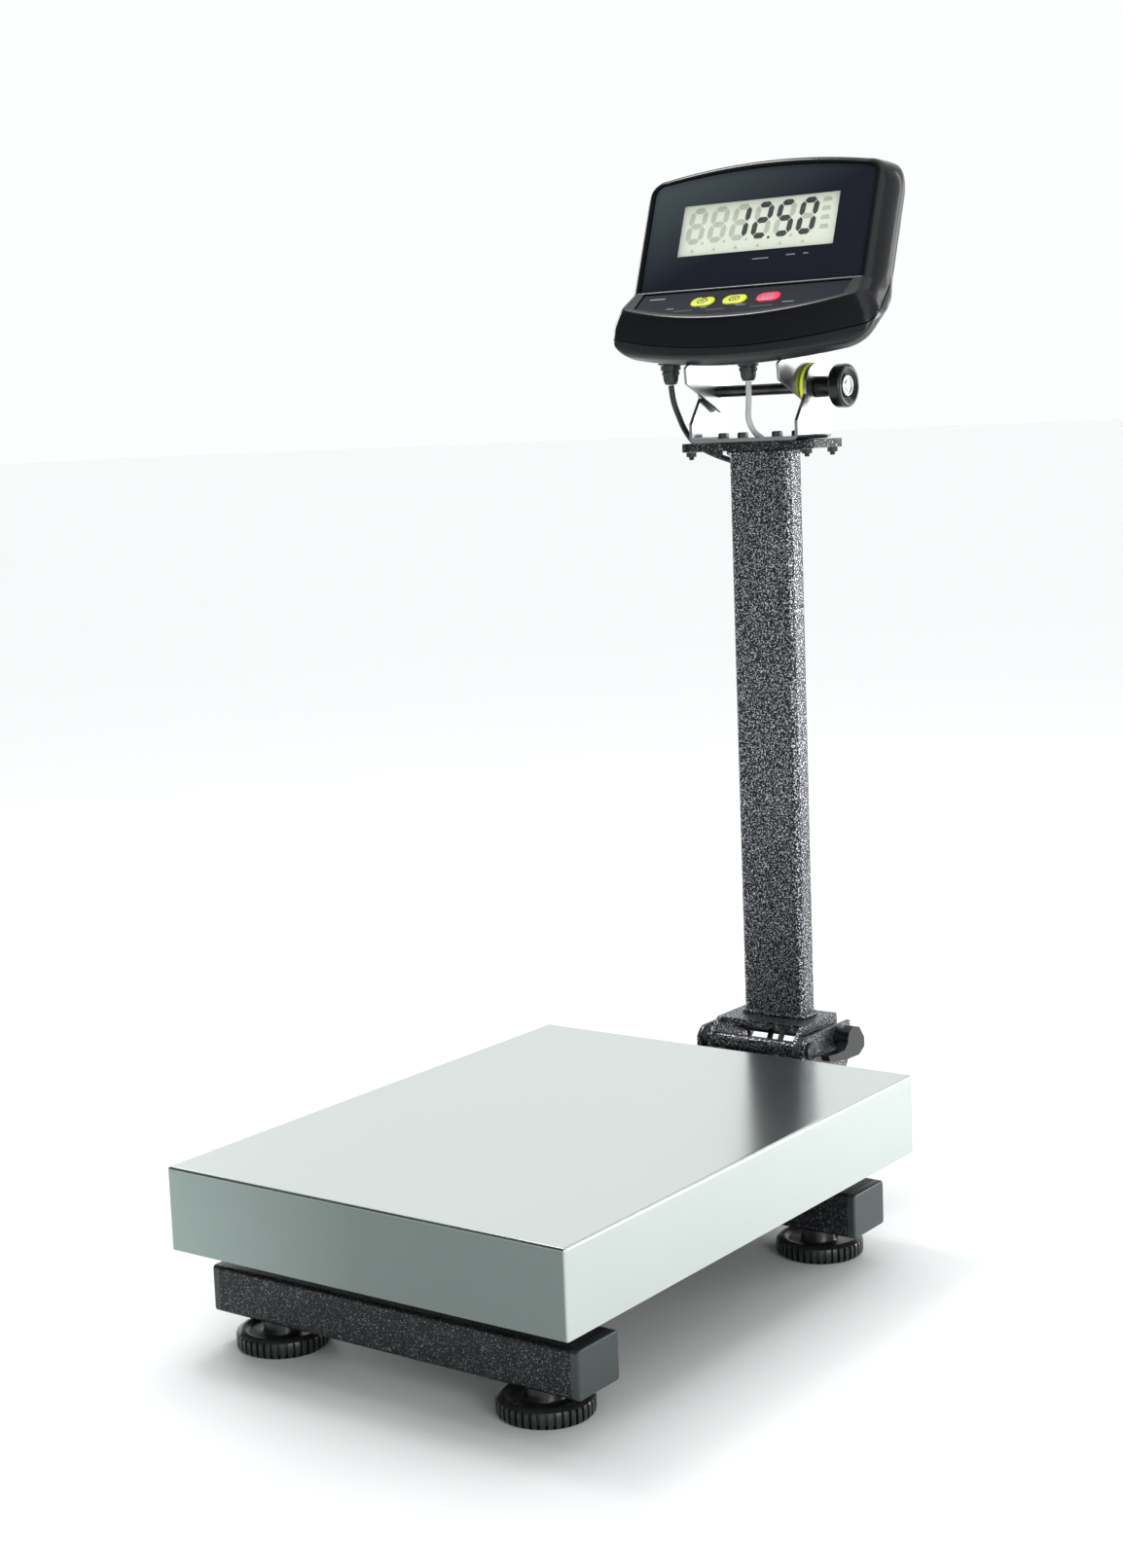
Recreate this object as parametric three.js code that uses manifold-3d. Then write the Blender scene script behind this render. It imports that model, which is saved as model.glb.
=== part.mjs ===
// Bench scale with a folding column and a tilting indicator.
// Millimetres. X runs to the user's right, Y from the tray's front edge to the rear, Z up from the floor.
import * as THREE from 'three';
import { mergeVertices } from 'three/addons/utils/BufferGeometryUtils.js';
import Module from 'manifold-3d';

const wasm = await Module();
wasm.setup();

// Driving dimensions
const gap = 0.3;
const tray = { width: 300, depth: 400, top: 118, skirt: 53, wall: 1.5 };
const bar = { length: 268, depth: 40, height: 30, bottom: 20, wall: 2, inset: 43 };
const plug = { thick: 5, insert: 12 };
const foot = { radius: 29, x: 101, rim: 9, shoulder: 21, neck: 12, height: 19.6, stud: 5, studTop: 40 };
const cell = { length: 130, width: 30, height: 22, bottom: 56, y: 200, pad: 36, eye: 7.5, eyeGap: 24 };
const subframe = { x: 100, rail: 20, low: 88, high: 104, length: 340, crossY: 62, plate: 4, plateWidth: 60 };
const bumper = { radius: 10, y: 140 };
const hinge = { y: 448, z: 109.5, pin: 4, bore: 4.3, barrel: 5.5 };
const cheek = { inner: 41, outer: 44, top: 119.5, rear: 507, nose: 10 };
const channel = { inner: 33, outer: 36, front: 454, rear: 502, top: 125, plate: 4, nose: 9 };
const clamp = { y: 490, z: 110.5, bolt: 4, reach: 48, spring: 5.6, wire: 0.9, turns: 6 };
const column = { width: 50, depth: 20, corner: 5, wall: 1.5, y: 482, low: 125.3, high: 533.7 };
const topPlate = { half: 53.5, front: 455.5, rear: 499, low: 534, high: 540 };
const yoke = { half: 44, sheet: 2.5, front: 453, rear: 500, low: 540.3, head: 16.6 };
const pivot = { y: 482, z: 575.7, rod: 4, bore: 4.3, washer: 16.9, washerFlat: 7.5 };
const bracket = { half: 38.4, sheet: 2.2, webFront: 473.5, webRear: 494 };
const knob = { start: 44.5, hub: 7.4, hubEnd: 58, disc: 15, end: 69 };
const housing = { half: 98, wall: 4, crease: [464.4, 647.2], faceLean: 19.6, shelfSlope: 36, bow: 0.0016 };
const seam = { lip: [432.8, 606], bend: [482.9, 642.4] };
const socket = { y: 474, z: 90, radius: 6, flange: 8.5, inner: -30 };
const glandShape = { hole: 5.4, seat: 9, seatLow: 596.2, seatHigh: 616, places: [[-62, 459], [0, 462.5]] };
const electronics = { lcdFront: -3, lcdBack: -8.5, paneBack: -2.5, paneThick: 1.1 };
const display = { half: 89, low: 1, high: 81, arch: 6, corner: 8, film: 1, recess: 1.3 };
const lcd = { half: 63, low: 26, high: 64, lap: 2.5 };
const keypad = { half: 84, back: -2.5, front: -33, bow: 0.0019, keyLong: 19, keyShort: 10.5, keyTall: 7 };
const keyPlaces = [[-29, -15.5], [-3, -15.5], [24, -15.5]];
const lead = { radius: 2.3, x: 5, sides: 8 };
const overallDepth = 531.7;

const rad = THREE.MathUtils.degToRad;

const finishes = {
  stainless: { color: 0xc9cdce, roughness: 0.35, metalness: 1 },
  hammered: { color: 0x3a3c40, roughness: 0.45, metalness: 0.6 },
  blackPlastic: { color: 0x17191c, roughness: 0.35, metalness: 0 },
  greyPlastic: { color: 0x3b4442, roughness: 0.5, metalness: 0 },
  rubber: { color: 0x141414, roughness: 0.8, metalness: 0 },
  zinc: { color: 0xa7a9ab, roughness: 0.4, metalness: 1 },
  blackSteel: { color: 0x1d1e20, roughness: 0.4, metalness: 0.8 },
  aluminium: { color: 0xb9bcbe, roughness: 0.4, metalness: 1 },
  yellow: { color: 0xd8e021, roughness: 0.45, metalness: 0 },
  red: { color: 0xe0324f, roughness: 0.4, metalness: 0 },
  film: { color: 0x2b3340, roughness: 0.3, metalness: 0 },
  clear: { color: 0xcfd8cc, roughness: 0.05, metalness: 0 },
  board: { color: 0x1f5a36, roughness: 0.5, metalness: 0 },
  greyLead: { color: 0xb8bbb9, roughness: 0.55, metalness: 0 },
};

const model = new THREE.Group();
model.position.set(0, -overallDepth / 2, 0);

function addPiece(name, geometry, finish, parent = model) {
  const mesh = new THREE.Mesh(geometry, new THREE.MeshStandardMaterial(finishes[finish]));
  mesh.name = name;
  parent.add(mesh);
  return mesh;
}

// Solids

function toSolid(geometry) {
  const bare = geometry.clone();
  bare.deleteAttribute('normal');
  bare.deleteAttribute('uv');
  const merged = mergeVertices(bare, 1e-4);
  return new wasm.Manifold(new wasm.Mesh({
    numProp: 3,
    vertProperties: Float32Array.from(merged.attributes.position.array),
    triVerts: Uint32Array.from(merged.index.array),
  }));
}

function toGeometry(solid) {
  const mesh = solid.getMesh();
  const geometry = new THREE.BufferGeometry();
  geometry.setAttribute('position', new THREE.BufferAttribute(mesh.vertProperties, 3));
  geometry.setIndex(new THREE.BufferAttribute(mesh.triVerts, 1));
  return geometry;
}

function combine(how, geometries) {
  const solids = geometries.map(toSolid);
  return toGeometry(solids.reduce((sum, next) => sum[how](next)));
}

const join = (...geometries) => combine('add', geometries);
const cut = (...geometries) => combine('subtract', geometries);
const meet = (...geometries) => combine('intersect', geometries);

function box(low, high) {
  const size = high.map((value, i) => value - low[i]);
  const middle = high.map((value, i) => (value + low[i]) / 2);
  return new THREE.BoxGeometry(...size).translate(...middle);
}

// An outline of [y, z] points extruded along X.
function prismX(outline, x0, x1) {
  const turn = new THREE.Matrix4().makeBasis(
    new THREE.Vector3(0, 1, 0),
    new THREE.Vector3(0, 0, 1),
    new THREE.Vector3(1, 0, 0),
  );
  return extrude(outline, x1 - x0).applyMatrix4(turn).translate(x0, 0, 0);
}

// An outline of [x, y] points extruded along Z.
function prismZ(outline, z0, z1) {
  return extrude(outline, z1 - z0).translate(0, 0, z0);
}

function extrude(outline, depth, holes = []) {
  const shape = new THREE.Shape(outline.map(([x, y]) => new THREE.Vector2(x, y)));
  shape.holes = holes.map((hole) => new THREE.Path(hole.map(([x, y]) => new THREE.Vector2(x, y))));
  return new THREE.ExtrudeGeometry(shape, { depth, bevelEnabled: false });
}

function cylinderX(radius, x0, x1, y, z, sides = 24) {
  return new THREE.CylinderGeometry(radius, radius, x1 - x0, sides)
    .rotateZ(Math.PI / 2)
    .translate((x0 + x1) / 2, y, z);
}

function cylinderZ(radius, z0, z1, x, y, sides = 24) {
  return new THREE.CylinderGeometry(radius, radius, z1 - z0, sides)
    .rotateX(Math.PI / 2)
    .translate(x, y, (z0 + z1) / 2);
}

// A profile of [radius, height] points turned about Z.
function turned(profile, sides = 32) {
  const points = profile.map(([r, h]) => new THREE.Vector2(r, h));
  return new THREE.LatheGeometry(points, sides).rotateX(Math.PI / 2);
}

function arcPoints(cx, cy, radius, fromDeg, toDeg, steps) {
  return Array.from({ length: steps + 1 }, (_, i) => {
    const angle = rad(fromDeg + (toDeg - fromDeg) * i / steps);
    return [cx + radius * Math.cos(angle), cy + radius * Math.sin(angle)];
  });
}

function roundedRect(halfX, lowY, highY, radius, steps = 4) {
  return [
    ...arcPoints(halfX - radius, lowY + radius, radius, -90, 0, steps),
    ...arcPoints(halfX - radius, highY - radius, radius, 0, 90, steps),
    ...arcPoints(-halfX + radius, highY - radius, radius, 90, 180, steps),
    ...arcPoints(-halfX + radius, lowY + radius, radius, 180, 270, steps),
  ];
}

// Moves each side of a closed counter-clockwise outline inwards by one distance.
function insetOutline(outline, distance) {
  return outline.map((point, i) => {
    const before = outline[(i + outline.length - 1) % outline.length];
    const after = outline[(i + 1) % outline.length];
    const a = new THREE.Vector2(point[0] - before[0], point[1] - before[1]).normalize();
    const b = new THREE.Vector2(after[0] - point[0], after[1] - point[1]).normalize();
    const slide = distance / (1 + a.dot(b));
    return [point[0] - (a.y + b.y) * slide, point[1] + (a.x + b.x) * slide];
  });
}

// Base frame

function crossbar() {
  const halfDepth = bar.depth / 2;
  const outer = box([-bar.length / 2, -halfDepth, 0], [bar.length / 2, halfDepth, bar.height]);
  const inner = box(
    [-bar.length / 2 - 1, -halfDepth + bar.wall, bar.wall],
    [bar.length / 2 + 1, halfDepth - bar.wall, bar.height - bar.wall],
  );
  const holes = [-foot.x, foot.x].map((x) => cylinderZ(foot.stud + gap, -1, bar.wall + 1, x, 0));
  return cut(outer, inner, ...holes);
}

function spine() {
  const front = bar.inset + bar.depth / 2 + gap;
  const rear = tray.depth - front;
  const outer = box([-20, front, bar.bottom], [20, rear, bar.bottom + bar.height]);
  const inner = box(
    [-20 + bar.wall, front - 1, bar.bottom + bar.wall],
    [20 - bar.wall, rear + 1, bar.bottom + bar.height - bar.wall],
  );
  return cut(outer, inner);
}

// End plug for a crossbar; the outer plate's inner face is at x = 0 and it faces +X.
function endPlug() {
  const halfDepth = bar.depth / 2;
  const insert = bar.wall + gap;
  return join(
    box([gap, -halfDepth, 0], [gap + plug.thick, halfDepth, bar.height]),
    box([-plug.insert, -halfDepth + insert, insert], [gap + 1, halfDepth - insert, bar.height - insert]),
  );
}

function levellingFoot() {
  return turned([
    [0, 0],
    [foot.radius - 1, 0],
    [foot.radius, 1.5],
    [foot.radius, foot.rim],
    [foot.radius - 2, foot.rim + 2],
    [foot.shoulder, foot.rim + 3],
    [foot.shoulder - 3, foot.height - 2],
    [foot.neck, foot.height],
    [foot.stud, foot.height],
    [foot.stud, foot.studTop],
    [0, foot.studTop],
  ]);
}

function addBaseFrame() {
  const rows = { front: bar.inset, rear: tray.depth - bar.inset };
  const sides = { left: -1, right: 1 };
  for (const [row, y] of Object.entries(rows)) {
    addPiece(`${row}_crossbar`, crossbar(), 'hammered').position.set(0, y, bar.bottom);
    for (const [side, sign] of Object.entries(sides)) {
      const cap = addPiece(`crossbar_plug_${row}_${side}`, endPlug(), 'greyPlastic');
      cap.position.set(sign * bar.length / 2, y, bar.bottom);
      cap.rotation.z = sign > 0 ? 0 : Math.PI;
      addPiece(`foot_${row}_${side}`, levellingFoot(), 'rubber').position.set(sign * foot.x, y, 0);
    }
  }
  addPiece('base_spine', spine(), 'hammered');
}

// Weighing platform

function loadCell() {
  const half = cell.length / 2;
  const middle = cell.height / 2;
  const eyes = [-1, 1].map((sign) => cylinderX(cell.eye, -20, 20, sign * cell.eyeGap / 2, middle));
  const slot = box([-20, -cell.eyeGap / 2, middle - 2], [20, cell.eyeGap / 2, middle + 2]);
  return cut(box([-cell.width / 2, -half, 0], [cell.width / 2, half, cell.height]), ...eyes, slot);
}

function spacer(low, high) {
  return box([-cell.width / 2, -cell.pad / 2, low], [cell.width / 2, cell.pad / 2, high]);
}

function platformSubframe() {
  const middle = tray.depth / 2;
  const halfRail = subframe.rail / 2;
  const rails = [-1, 1].map((sign) => box(
    [sign * subframe.x - halfRail, middle - subframe.length / 2, subframe.low],
    [sign * subframe.x + halfRail, middle + subframe.length / 2, subframe.high],
  ));
  const crosses = [-1, 1].map((sign) => box(
    [-subframe.x, middle + sign * subframe.crossY - halfRail, subframe.low],
    [subframe.x, middle + sign * subframe.crossY + halfRail, subframe.high],
  ));
  const plate = box(
    [-subframe.plateWidth / 2, middle - subframe.crossY - halfRail, subframe.low - subframe.plate],
    [subframe.plateWidth / 2, middle + subframe.crossY + halfRail, subframe.low + 0.5],
  );
  return join(...rails, ...crosses, plate);
}

function platformTray() {
  const half = tray.width / 2;
  const low = tray.top - tray.skirt;
  const wall = tray.wall;
  return cut(
    box([-half, 0, low], [half, tray.depth, tray.top]),
    box([-half + wall, wall, low - 1], [half - wall, tray.depth - wall, tray.top - wall]),
  );
}

function addPlatform() {
  const cellTop = cell.bottom + cell.height;
  const padY = (cell.length - cell.pad) / 2 - 2;
  addPiece('load_cell', loadCell(), 'aluminium').position.set(0, cell.y, cell.bottom);
  addPiece('cell_spacer_lower', spacer(bar.bottom + bar.height + gap, cell.bottom - gap), 'zinc')
    .position.set(0, cell.y + padY, 0);
  addPiece('cell_spacer_upper', spacer(cellTop + gap, subframe.low - subframe.plate - gap), 'zinc')
    .position.set(0, cell.y - padY, 0);
  addPiece('platform_subframe', platformSubframe(), 'hammered');
  addPiece('platform_tray', platformTray(), 'stainless');
  const bumperLow = subframe.high + gap;
  const bumperHigh = tray.top - tray.wall - gap;
  for (const [row, shift] of Object.entries({ front: -bumper.y, rear: bumper.y })) {
    for (const [side, x] of Object.entries({ left: -subframe.x, right: subframe.x })) {
      const block = cylinderZ(bumper.radius, bumperLow, bumperHigh, x, tray.depth / 2 + shift);
      addPiece(`tray_bumper_${row}_${side}`, block, 'rubber');
    }
  }
}

// Column hinge

function columnBracket() {
  const rearFace = tray.depth - bar.inset + bar.depth / 2 + gap;
  const side = [
    [rearFace, bar.bottom],
    [436, bar.bottom],
    [482, 62],
    [cheek.rear, 96],
    [cheek.rear, cheek.top],
    ...arcPoints(hinge.y, hinge.z, cheek.nose, 90, 180, 6),
    [436, 92],
    [424, 62],
    [406, 50],
    [rearFace, 50],
  ];
  const cheeks = [[-cheek.outer, -cheek.inner], [cheek.inner, cheek.outer]]
    .map(([x0, x1]) => prismX(side, x0, x1));
  const floor = [[rearFace, bar.bottom], [436, bar.bottom], [482, 62], [cheek.rear, 96],
    [cheek.rear - 4, 96], [480, 65], [434.5, bar.bottom + 3], [rearFace, bar.bottom + 3]];
  const web = prismX(floor, -cheek.outer + 1, cheek.outer - 1);
  const flange = box([-cheek.outer + 1, rearFace, bar.bottom], [cheek.outer - 1, rearFace + 4, 50]);
  const pinHole = cylinderX(hinge.bore, -50, 50, hinge.y, hinge.z);
  const clampHole = cylinderX(clamp.bolt + gap, -50, 50, clamp.y, clamp.z);
  const socketHole = cylinderX(socket.radius + gap, -50, 0, socket.y, socket.z);
  return cut(join(...cheeks, web, flange), pinHole, clampHole, socketHole);
}

function hingePin() {
  return join(
    cylinderX(hinge.pin, -45, 45, hinge.y, hinge.z),
    cylinderX(6.5, cheek.outer + gap, cheek.outer + 3, hinge.y, hinge.z),
    cylinderX(6.5, -cheek.outer - 3, -cheek.outer - gap, hinge.y, hinge.z),
  );
}

function hingeWasher(sign) {
  const ends = [sign * (channel.outer + gap), sign * (cheek.inner - gap)].sort((a, b) => a - b);
  return cut(
    cylinderX(9.5, ends[0], ends[1], hinge.y, hinge.z, 28),
    cylinderX(hinge.bore, ends[0] - 1, ends[1] + 1, hinge.y, hinge.z),
  );
}

// Folding foot of the column: a channel that turns on the hinge pin and drops over the clamp bolt.
function columnFoot() {
  const side = [
    ...arcPoints(hinge.y, hinge.z, channel.nose, 270, 150, 8).reverse(),
    [496, 100.5],
    [channel.rear, 106],
    [channel.rear, channel.top],
    [channel.front, channel.top],
  ];
  const cheeks = [[-channel.outer, -channel.inner], [channel.inner, channel.outer]]
    .map(([x0, x1]) => prismX(side, x0, x1));
  const plate = box(
    [-channel.outer, channel.front, channel.top - channel.plate],
    [channel.outer, channel.rear, channel.top],
  );
  const barrel = cylinderX(hinge.barrel, -channel.inner - 1, channel.inner + 1, hinge.y, hinge.z);
  const pinHole = cylinderX(hinge.bore, -50, 50, hinge.y, hinge.z);
  const slotHalf = clamp.bolt + 0.6;
  const slot = [
    [clamp.y - slotHalf - 2, 95],
    [clamp.y + slotHalf, 95],
    ...arcPoints(clamp.y, clamp.z, slotHalf, 0, 180, 8),
  ];
  const leadHole = box([-12, 475.5, 115], [12, 488.5, 130]);
  return cut(join(...cheeks, plate, barrel), pinHole, prismX(slot, -50, 50), leadHole);
}

function clampBolt() {
  return join(
    cylinderX(clamp.bolt, -46, clamp.reach + 3, clamp.y, clamp.z),
    cylinderX(7, -cheek.outer - 5, -cheek.outer - gap, clamp.y, clamp.z, 6),
  );
}

// Clamping lever: hub on the bolt's end, a thumb lobe behind it and a slim tail towards the front.
function clampLever() {
  const hub = cylinderX(8, cheek.outer + gap, cheek.outer + 12, 0, 0);
  const side = [
    [-36, -4.5], [-24, -5.5], [-13, -5.5], [-8, -1], [-6, 6], [0, 9.5], [9, 7],
    [16, -2], [16, -9], [8, -13.5], [-8, -13], [-22, -11.5], [-34, -9],
  ];
  const arm = prismX(side, cheek.outer + 5, cheek.outer + 12);
  const bore = cylinderX(clamp.bolt + gap, cheek.outer - 5, clamp.reach + 4, 0, 0);
  return cut(join(hub, arm), bore);
}

function clampSpring() {
  const points = Array.from({ length: clamp.turns * 12 + 1 }, (_, i) => {
    const angle = rad(i * 30);
    const x = 12 + 19 * i / (clamp.turns * 12);
    return new THREE.Vector3(x, clamp.spring * Math.cos(angle), clamp.spring * Math.sin(angle));
  });
  return tubeAlong(points, clamp.wire, 6, clamp.turns * 12);
}

function tubeAlong(points, radius, sides, steps) {
  const ring = arcPoints(0, 0, radius, 0, 360 - 360 / sides, sides - 1);
  const shape = new THREE.Shape(ring.map(([x, y]) => new THREE.Vector2(x, y)));
  const extrudePath = new THREE.CatmullRomCurve3(points);
  return new THREE.ExtrudeGeometry(shape, { steps, extrudePath, bevelEnabled: false });
}

function powerSocket() {
  return join(
    cylinderX(socket.radius, -cheek.outer - 2, socket.inner, socket.y, socket.z),
    cylinderX(socket.flange, -cheek.outer - 3.5, -cheek.outer - gap, socket.y, socket.z, 6),
  );
}

function addHinge() {
  addPiece('column_bracket', columnBracket(), 'hammered');
  addPiece('hinge_pin', hingePin(), 'zinc');
  addPiece('hinge_washer_left', hingeWasher(-1), 'blackSteel');
  addPiece('hinge_washer_right', hingeWasher(1), 'blackSteel');
  addPiece('column_foot', columnFoot(), 'hammered');
  addPiece('clamp_bolt', clampBolt(), 'zinc');
  addPiece('clamp_lever', clampLever(), 'blackPlastic').position.set(0, clamp.y, clamp.z);
  addPiece('clamp_spring', clampSpring(), 'blackSteel').position.set(0, clamp.y, clamp.z);
  addPiece('power_socket', powerSocket(), 'blackPlastic');
}

// Column

function columnTube() {
  const halfDepth = column.depth / 2;
  const outer = roundedRect(column.width / 2, -halfDepth, halfDepth, column.corner);
  const wall = column.wall;
  const innerDepth = halfDepth - wall;
  const inner = roundedRect(column.width / 2 - wall, -innerDepth, innerDepth, column.corner - wall);
  const tube = extrude(outer, column.high - column.low, [inner]);
  const leadHole = box([-9, 0, 380], [-1, halfDepth + 2, 392]);
  return cut(tube, leadHole);
}

function columnTopPlate() {
  const { half, front, rear, low, high } = topPlate;
  const plate = box([-half, front, low], [half, rear, high]);
  const leadHole = box([-8, 466, topPlate.low - 1], [8, 488, topPlate.high + 1]);
  return cut(plate, leadHole, ...yokeHoles(3.3));
}

const yokeScrewX = [-30, -14, 14, 30];
const yokeScrewY = 476;

function yokeHoles(radius) {
  return yokeScrewX.map((x) => cylinderZ(radius, topPlate.low - 1, yoke.low + 6, x, yokeScrewY, 16));
}

function yokeScrew() {
  return join(
    cylinderZ(2.6, topPlate.low + 1, yoke.low + yoke.sheet + 1, 0, 0, 16),
    cylinderZ(4, yoke.low + yoke.sheet + gap, yoke.low + yoke.sheet + 3.8, 0, 0, 6),
  );
}

function tiltYoke() {
  const ear = [
    [yoke.front, yoke.low],
    [yoke.rear, yoke.low],
    [yoke.rear, 560],
    ...arcPoints(pivot.y, pivot.z, yoke.head, 0, 195, 14),
    [yoke.front, 553.5],
  ];
  const inner = yoke.half - yoke.sheet;
  const ears = [[-yoke.half, -inner], [inner, yoke.half]].map(([x0, x1]) => prismX(ear, x0, x1));
  const base = box([-yoke.half, yoke.front, yoke.low], [yoke.half, yoke.rear, yoke.low + yoke.sheet]);
  const bore = cylinderX(pivot.bore, -60, 60, pivot.y, pivot.z);
  const leadHole = box([-7, 464, yoke.low - 1], [7, 487, yoke.low + 5]);
  return cut(join(...ears, base), bore, leadHole, ...yokeHoles(3.3));
}

function tiltRod() {
  return join(
    cylinderX(pivot.rod, -46, 57, pivot.y, pivot.z),
    cylinderX(7, -yoke.half - 4.5, -yoke.half - gap, pivot.y, pivot.z, 6),
  );
}

// Friction washer between yoke and bracket, with a flat along its lower edge.
function frictionWasher(sign) {
  const near = sign * (bracket.half + gap);
  const far = sign * (yoke.half - yoke.sheet - gap);
  const [x0, x1] = [near, far].sort((a, b) => a - b);
  const flat = pivot.z - pivot.washerFlat;
  return cut(
    cylinderX(pivot.washer, x0, x1, pivot.y, pivot.z, 36),
    cylinderX(pivot.bore, x0 - 1, x1 + 1, pivot.y, pivot.z),
    box([x0 - 1, pivot.y - 20, flat - 20], [x1 + 1, pivot.y + 20, flat]),
  );
}

function tiltKnob() {
  const profile = [
    [0, knob.hubEnd],
    [pivot.bore, knob.hubEnd],
    [pivot.bore, knob.start],
    [knob.hub, knob.start],
    [knob.hub, knob.hubEnd],
    [knob.disc - 1.5, knob.hubEnd],
    [knob.disc, knob.hubEnd + 2],
    [knob.disc, knob.end - 4],
    [knob.disc - 3, knob.end],
    [0, knob.end],
  ];
  return turned(profile, 30).rotateY(Math.PI / 2).translate(0, pivot.y, pivot.z);
}

function addColumn() {
  addPiece('column_tube', columnTube(), 'hammered').position.set(0, column.y, column.low);
  addPiece('column_top_plate', columnTopPlate(), 'hammered');
  addPiece('tilt_yoke', tiltYoke(), 'stainless');
  yokeScrewX.forEach((x, i) => {
    addPiece(`yoke_screw_${i + 1}`, yokeScrew(), 'blackSteel').position.set(x, yokeScrewY, 0);
  });
  addPiece('tilt_rod', tiltRod(), 'blackSteel');
  addPiece('friction_washer_left', frictionWasher(-1), 'yellow');
  addPiece('friction_washer_right', frictionWasher(1), 'yellow');
  addPiece('tilt_knob', tiltKnob(), 'blackPlastic');
}

// Indicator

const sideProfile = [
  [433.8, 625],
  [432.8, 606],
  [435.2, 598.4],
  [440.5, 594.6],
  [446, 595.8],
  [495, 631.4],
  [503, 641],
  [531.7, 722],
  [527, 731],
  [508, 736.5],
  [498.5, 734.8],
  [493, 731],
  [463.2, 647.7],
];

function faceSpace() {
  const space = new THREE.Group();
  space.position.set(0, ...housing.crease);
  space.rotation.x = rad(90 - housing.faceLean);
  space.updateMatrix();
  return space;
}

function shelfSpace() {
  const space = new THREE.Group();
  space.position.set(0, ...housing.crease);
  space.rotation.x = rad(housing.shelfSlope);
  space.updateMatrix();
  return space;
}

// Face outline with an arched top: [x, s] points, s measured up the face from the crease.
function archedOutline(half, low, high, arch, corner, lowCorner) {
  const top = Array.from({ length: 9 }, (_, i) => {
    const t = i / 8 * 2 - 1;
    return [-t * (half - corner), high + arch * (1 - t * t)];
  });
  return [
    ...arcPoints(half - lowCorner, low + lowCorner, lowCorner, -90, 0, 5),
    ...arcPoints(half - corner, high - corner, corner, 0, 80, 4),
    ...top,
    ...arcPoints(-half + corner, high - corner, corner, 100, 180, 4),
    ...arcPoints(-half + lowCorner, low + lowCorner, lowCorner, 180, 270, 5),
  ];
}

const lipFront = 432;

// Plan outline with a bowed front edge.
function planOutline(inset) {
  const half = housing.half - inset;
  const bow = Array.from({ length: 13 }, (_, i) => {
    const x = (i / 6 - 1) * (half - 9);
    return [x, lipFront + inset + x * x * housing.bow];
  });
  const shoulder = lipFront + inset + (half - 9) ** 2 * housing.bow;
  return [
    ...bow,
    [half - 3, shoulder + 4],
    [half, shoulder + 11],
    [half, 560],
    [-half, 560],
    [-half, shoulder + 11],
    [-half + 3, shoulder + 4],
  ];
}

function housingBlock(inset) {
  const half = housing.half + 5;
  const side = prismX(insetOutline(sideProfile, inset), -half, half);
  const plan = prismZ(planOutline(inset), 560, 780);
  const outline = archedOutline(housing.half - inset, -58 + inset, 87 - inset, 7, 15 - inset / 2, 22 - inset);
  const front = extrude(outline, 180).translate(0, 0, -110).applyMatrix4(faceSpace().matrix);
  return meet(side, plan, front);
}

// Region on one side of the seam, which runs parallel to the shelf and then to the face.
function seamRegion(forward, offset) {
  const shelf = rad(housing.shelfSlope);
  const face = rad(housing.faceLean);
  const start = [seam.lip[0] - 40 * Math.cos(shelf), seam.lip[1] - 40 * Math.sin(shelf) - offset];
  const bend = [seam.bend[0] + offset, seam.bend[1] - offset];
  const end = [bend[0] + 115 * Math.sin(face), bend[1] + 115 * Math.cos(face)];
  const outline = forward
    ? [start, bend, end, [380, end[1]], [380, start[1]]]
    : [start, [start[0], 560], [580, 560], [580, end[1]], end, bend];
  return prismX(outline, -120, 120);
}

function oval(length, width, x, y) {
  const radius = width / 2;
  const run = (length - width) / 2;
  return [...arcPoints(x + run, y, radius, -90, 90, 8), ...arcPoints(x - run, y, radius, 90, 270, 8)];
}

function faceOutline(inset) {
  const { half, low, high, arch, corner } = display;
  return archedOutline(half - inset, low + inset, high - inset, arch, corner, 2);
}

function keypadOutline(inset) {
  const half = keypad.half - inset;
  const front = Array.from({ length: 9 }, (_, i) => {
    const x = (i / 4 - 1) * half;
    return [x, keypad.front + inset + x * x * keypad.bow];
  });
  return [...front, [half, keypad.back - inset], [-half, keypad.back - inset]];
}

function frontShell() {
  const face = faceSpace().matrix;
  const shelf = shelfSpace().matrix;
  const recess = extrude(faceOutline(-gap), 12).translate(0, 0, -display.recess).applyMatrix4(face);
  const opening = extrude(roundedRect(lcd.half + 3, lcd.low - 3, lcd.high + 3, 1), 20)
    .translate(0, 0, -16)
    .applyMatrix4(face);
  const padRecess = extrude(keypadOutline(-gap), 6).translate(0, 0, -display.recess).applyMatrix4(shelf);
  const keyHoles = keyPlaces.map(([x, y]) => extrude(oval(keypad.keyLong + 1, keypad.keyShort + 1, x, y), 14)
    .translate(0, 0, -12)
    .applyMatrix4(shelf));
  const shell = meet(housingBlock(0), seamRegion(true, 0));
  return cut(shell, housingBlock(housing.wall), recess, opening, padRecess, ...keyHoles);
}

function rearShell() {
  const { hole, seat, seatLow, seatHigh, places } = glandShape;
  const seats = places.map(([x, y]) => cylinderZ(seat, seatLow, seatHigh, x, y));
  const holes = places.map(([x, y]) => cylinderZ(hole, seatLow - 1, seatHigh + 1, x, y));
  const shell = cut(meet(housingBlock(0), seamRegion(false, gap)), housingBlock(housing.wall));
  return cut(join(shell, ...seats), ...holes);
}

function gland() {
  return turned([
    [0, 582],
    [4, 582],
    [5.5, 585],
    [5.5, 589],
    [7.3, 589],
    [7.3, 595.9],
    [5, 595.9],
    [5, 617.5],
    [0, 617.5],
  ], 12);
}

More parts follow.
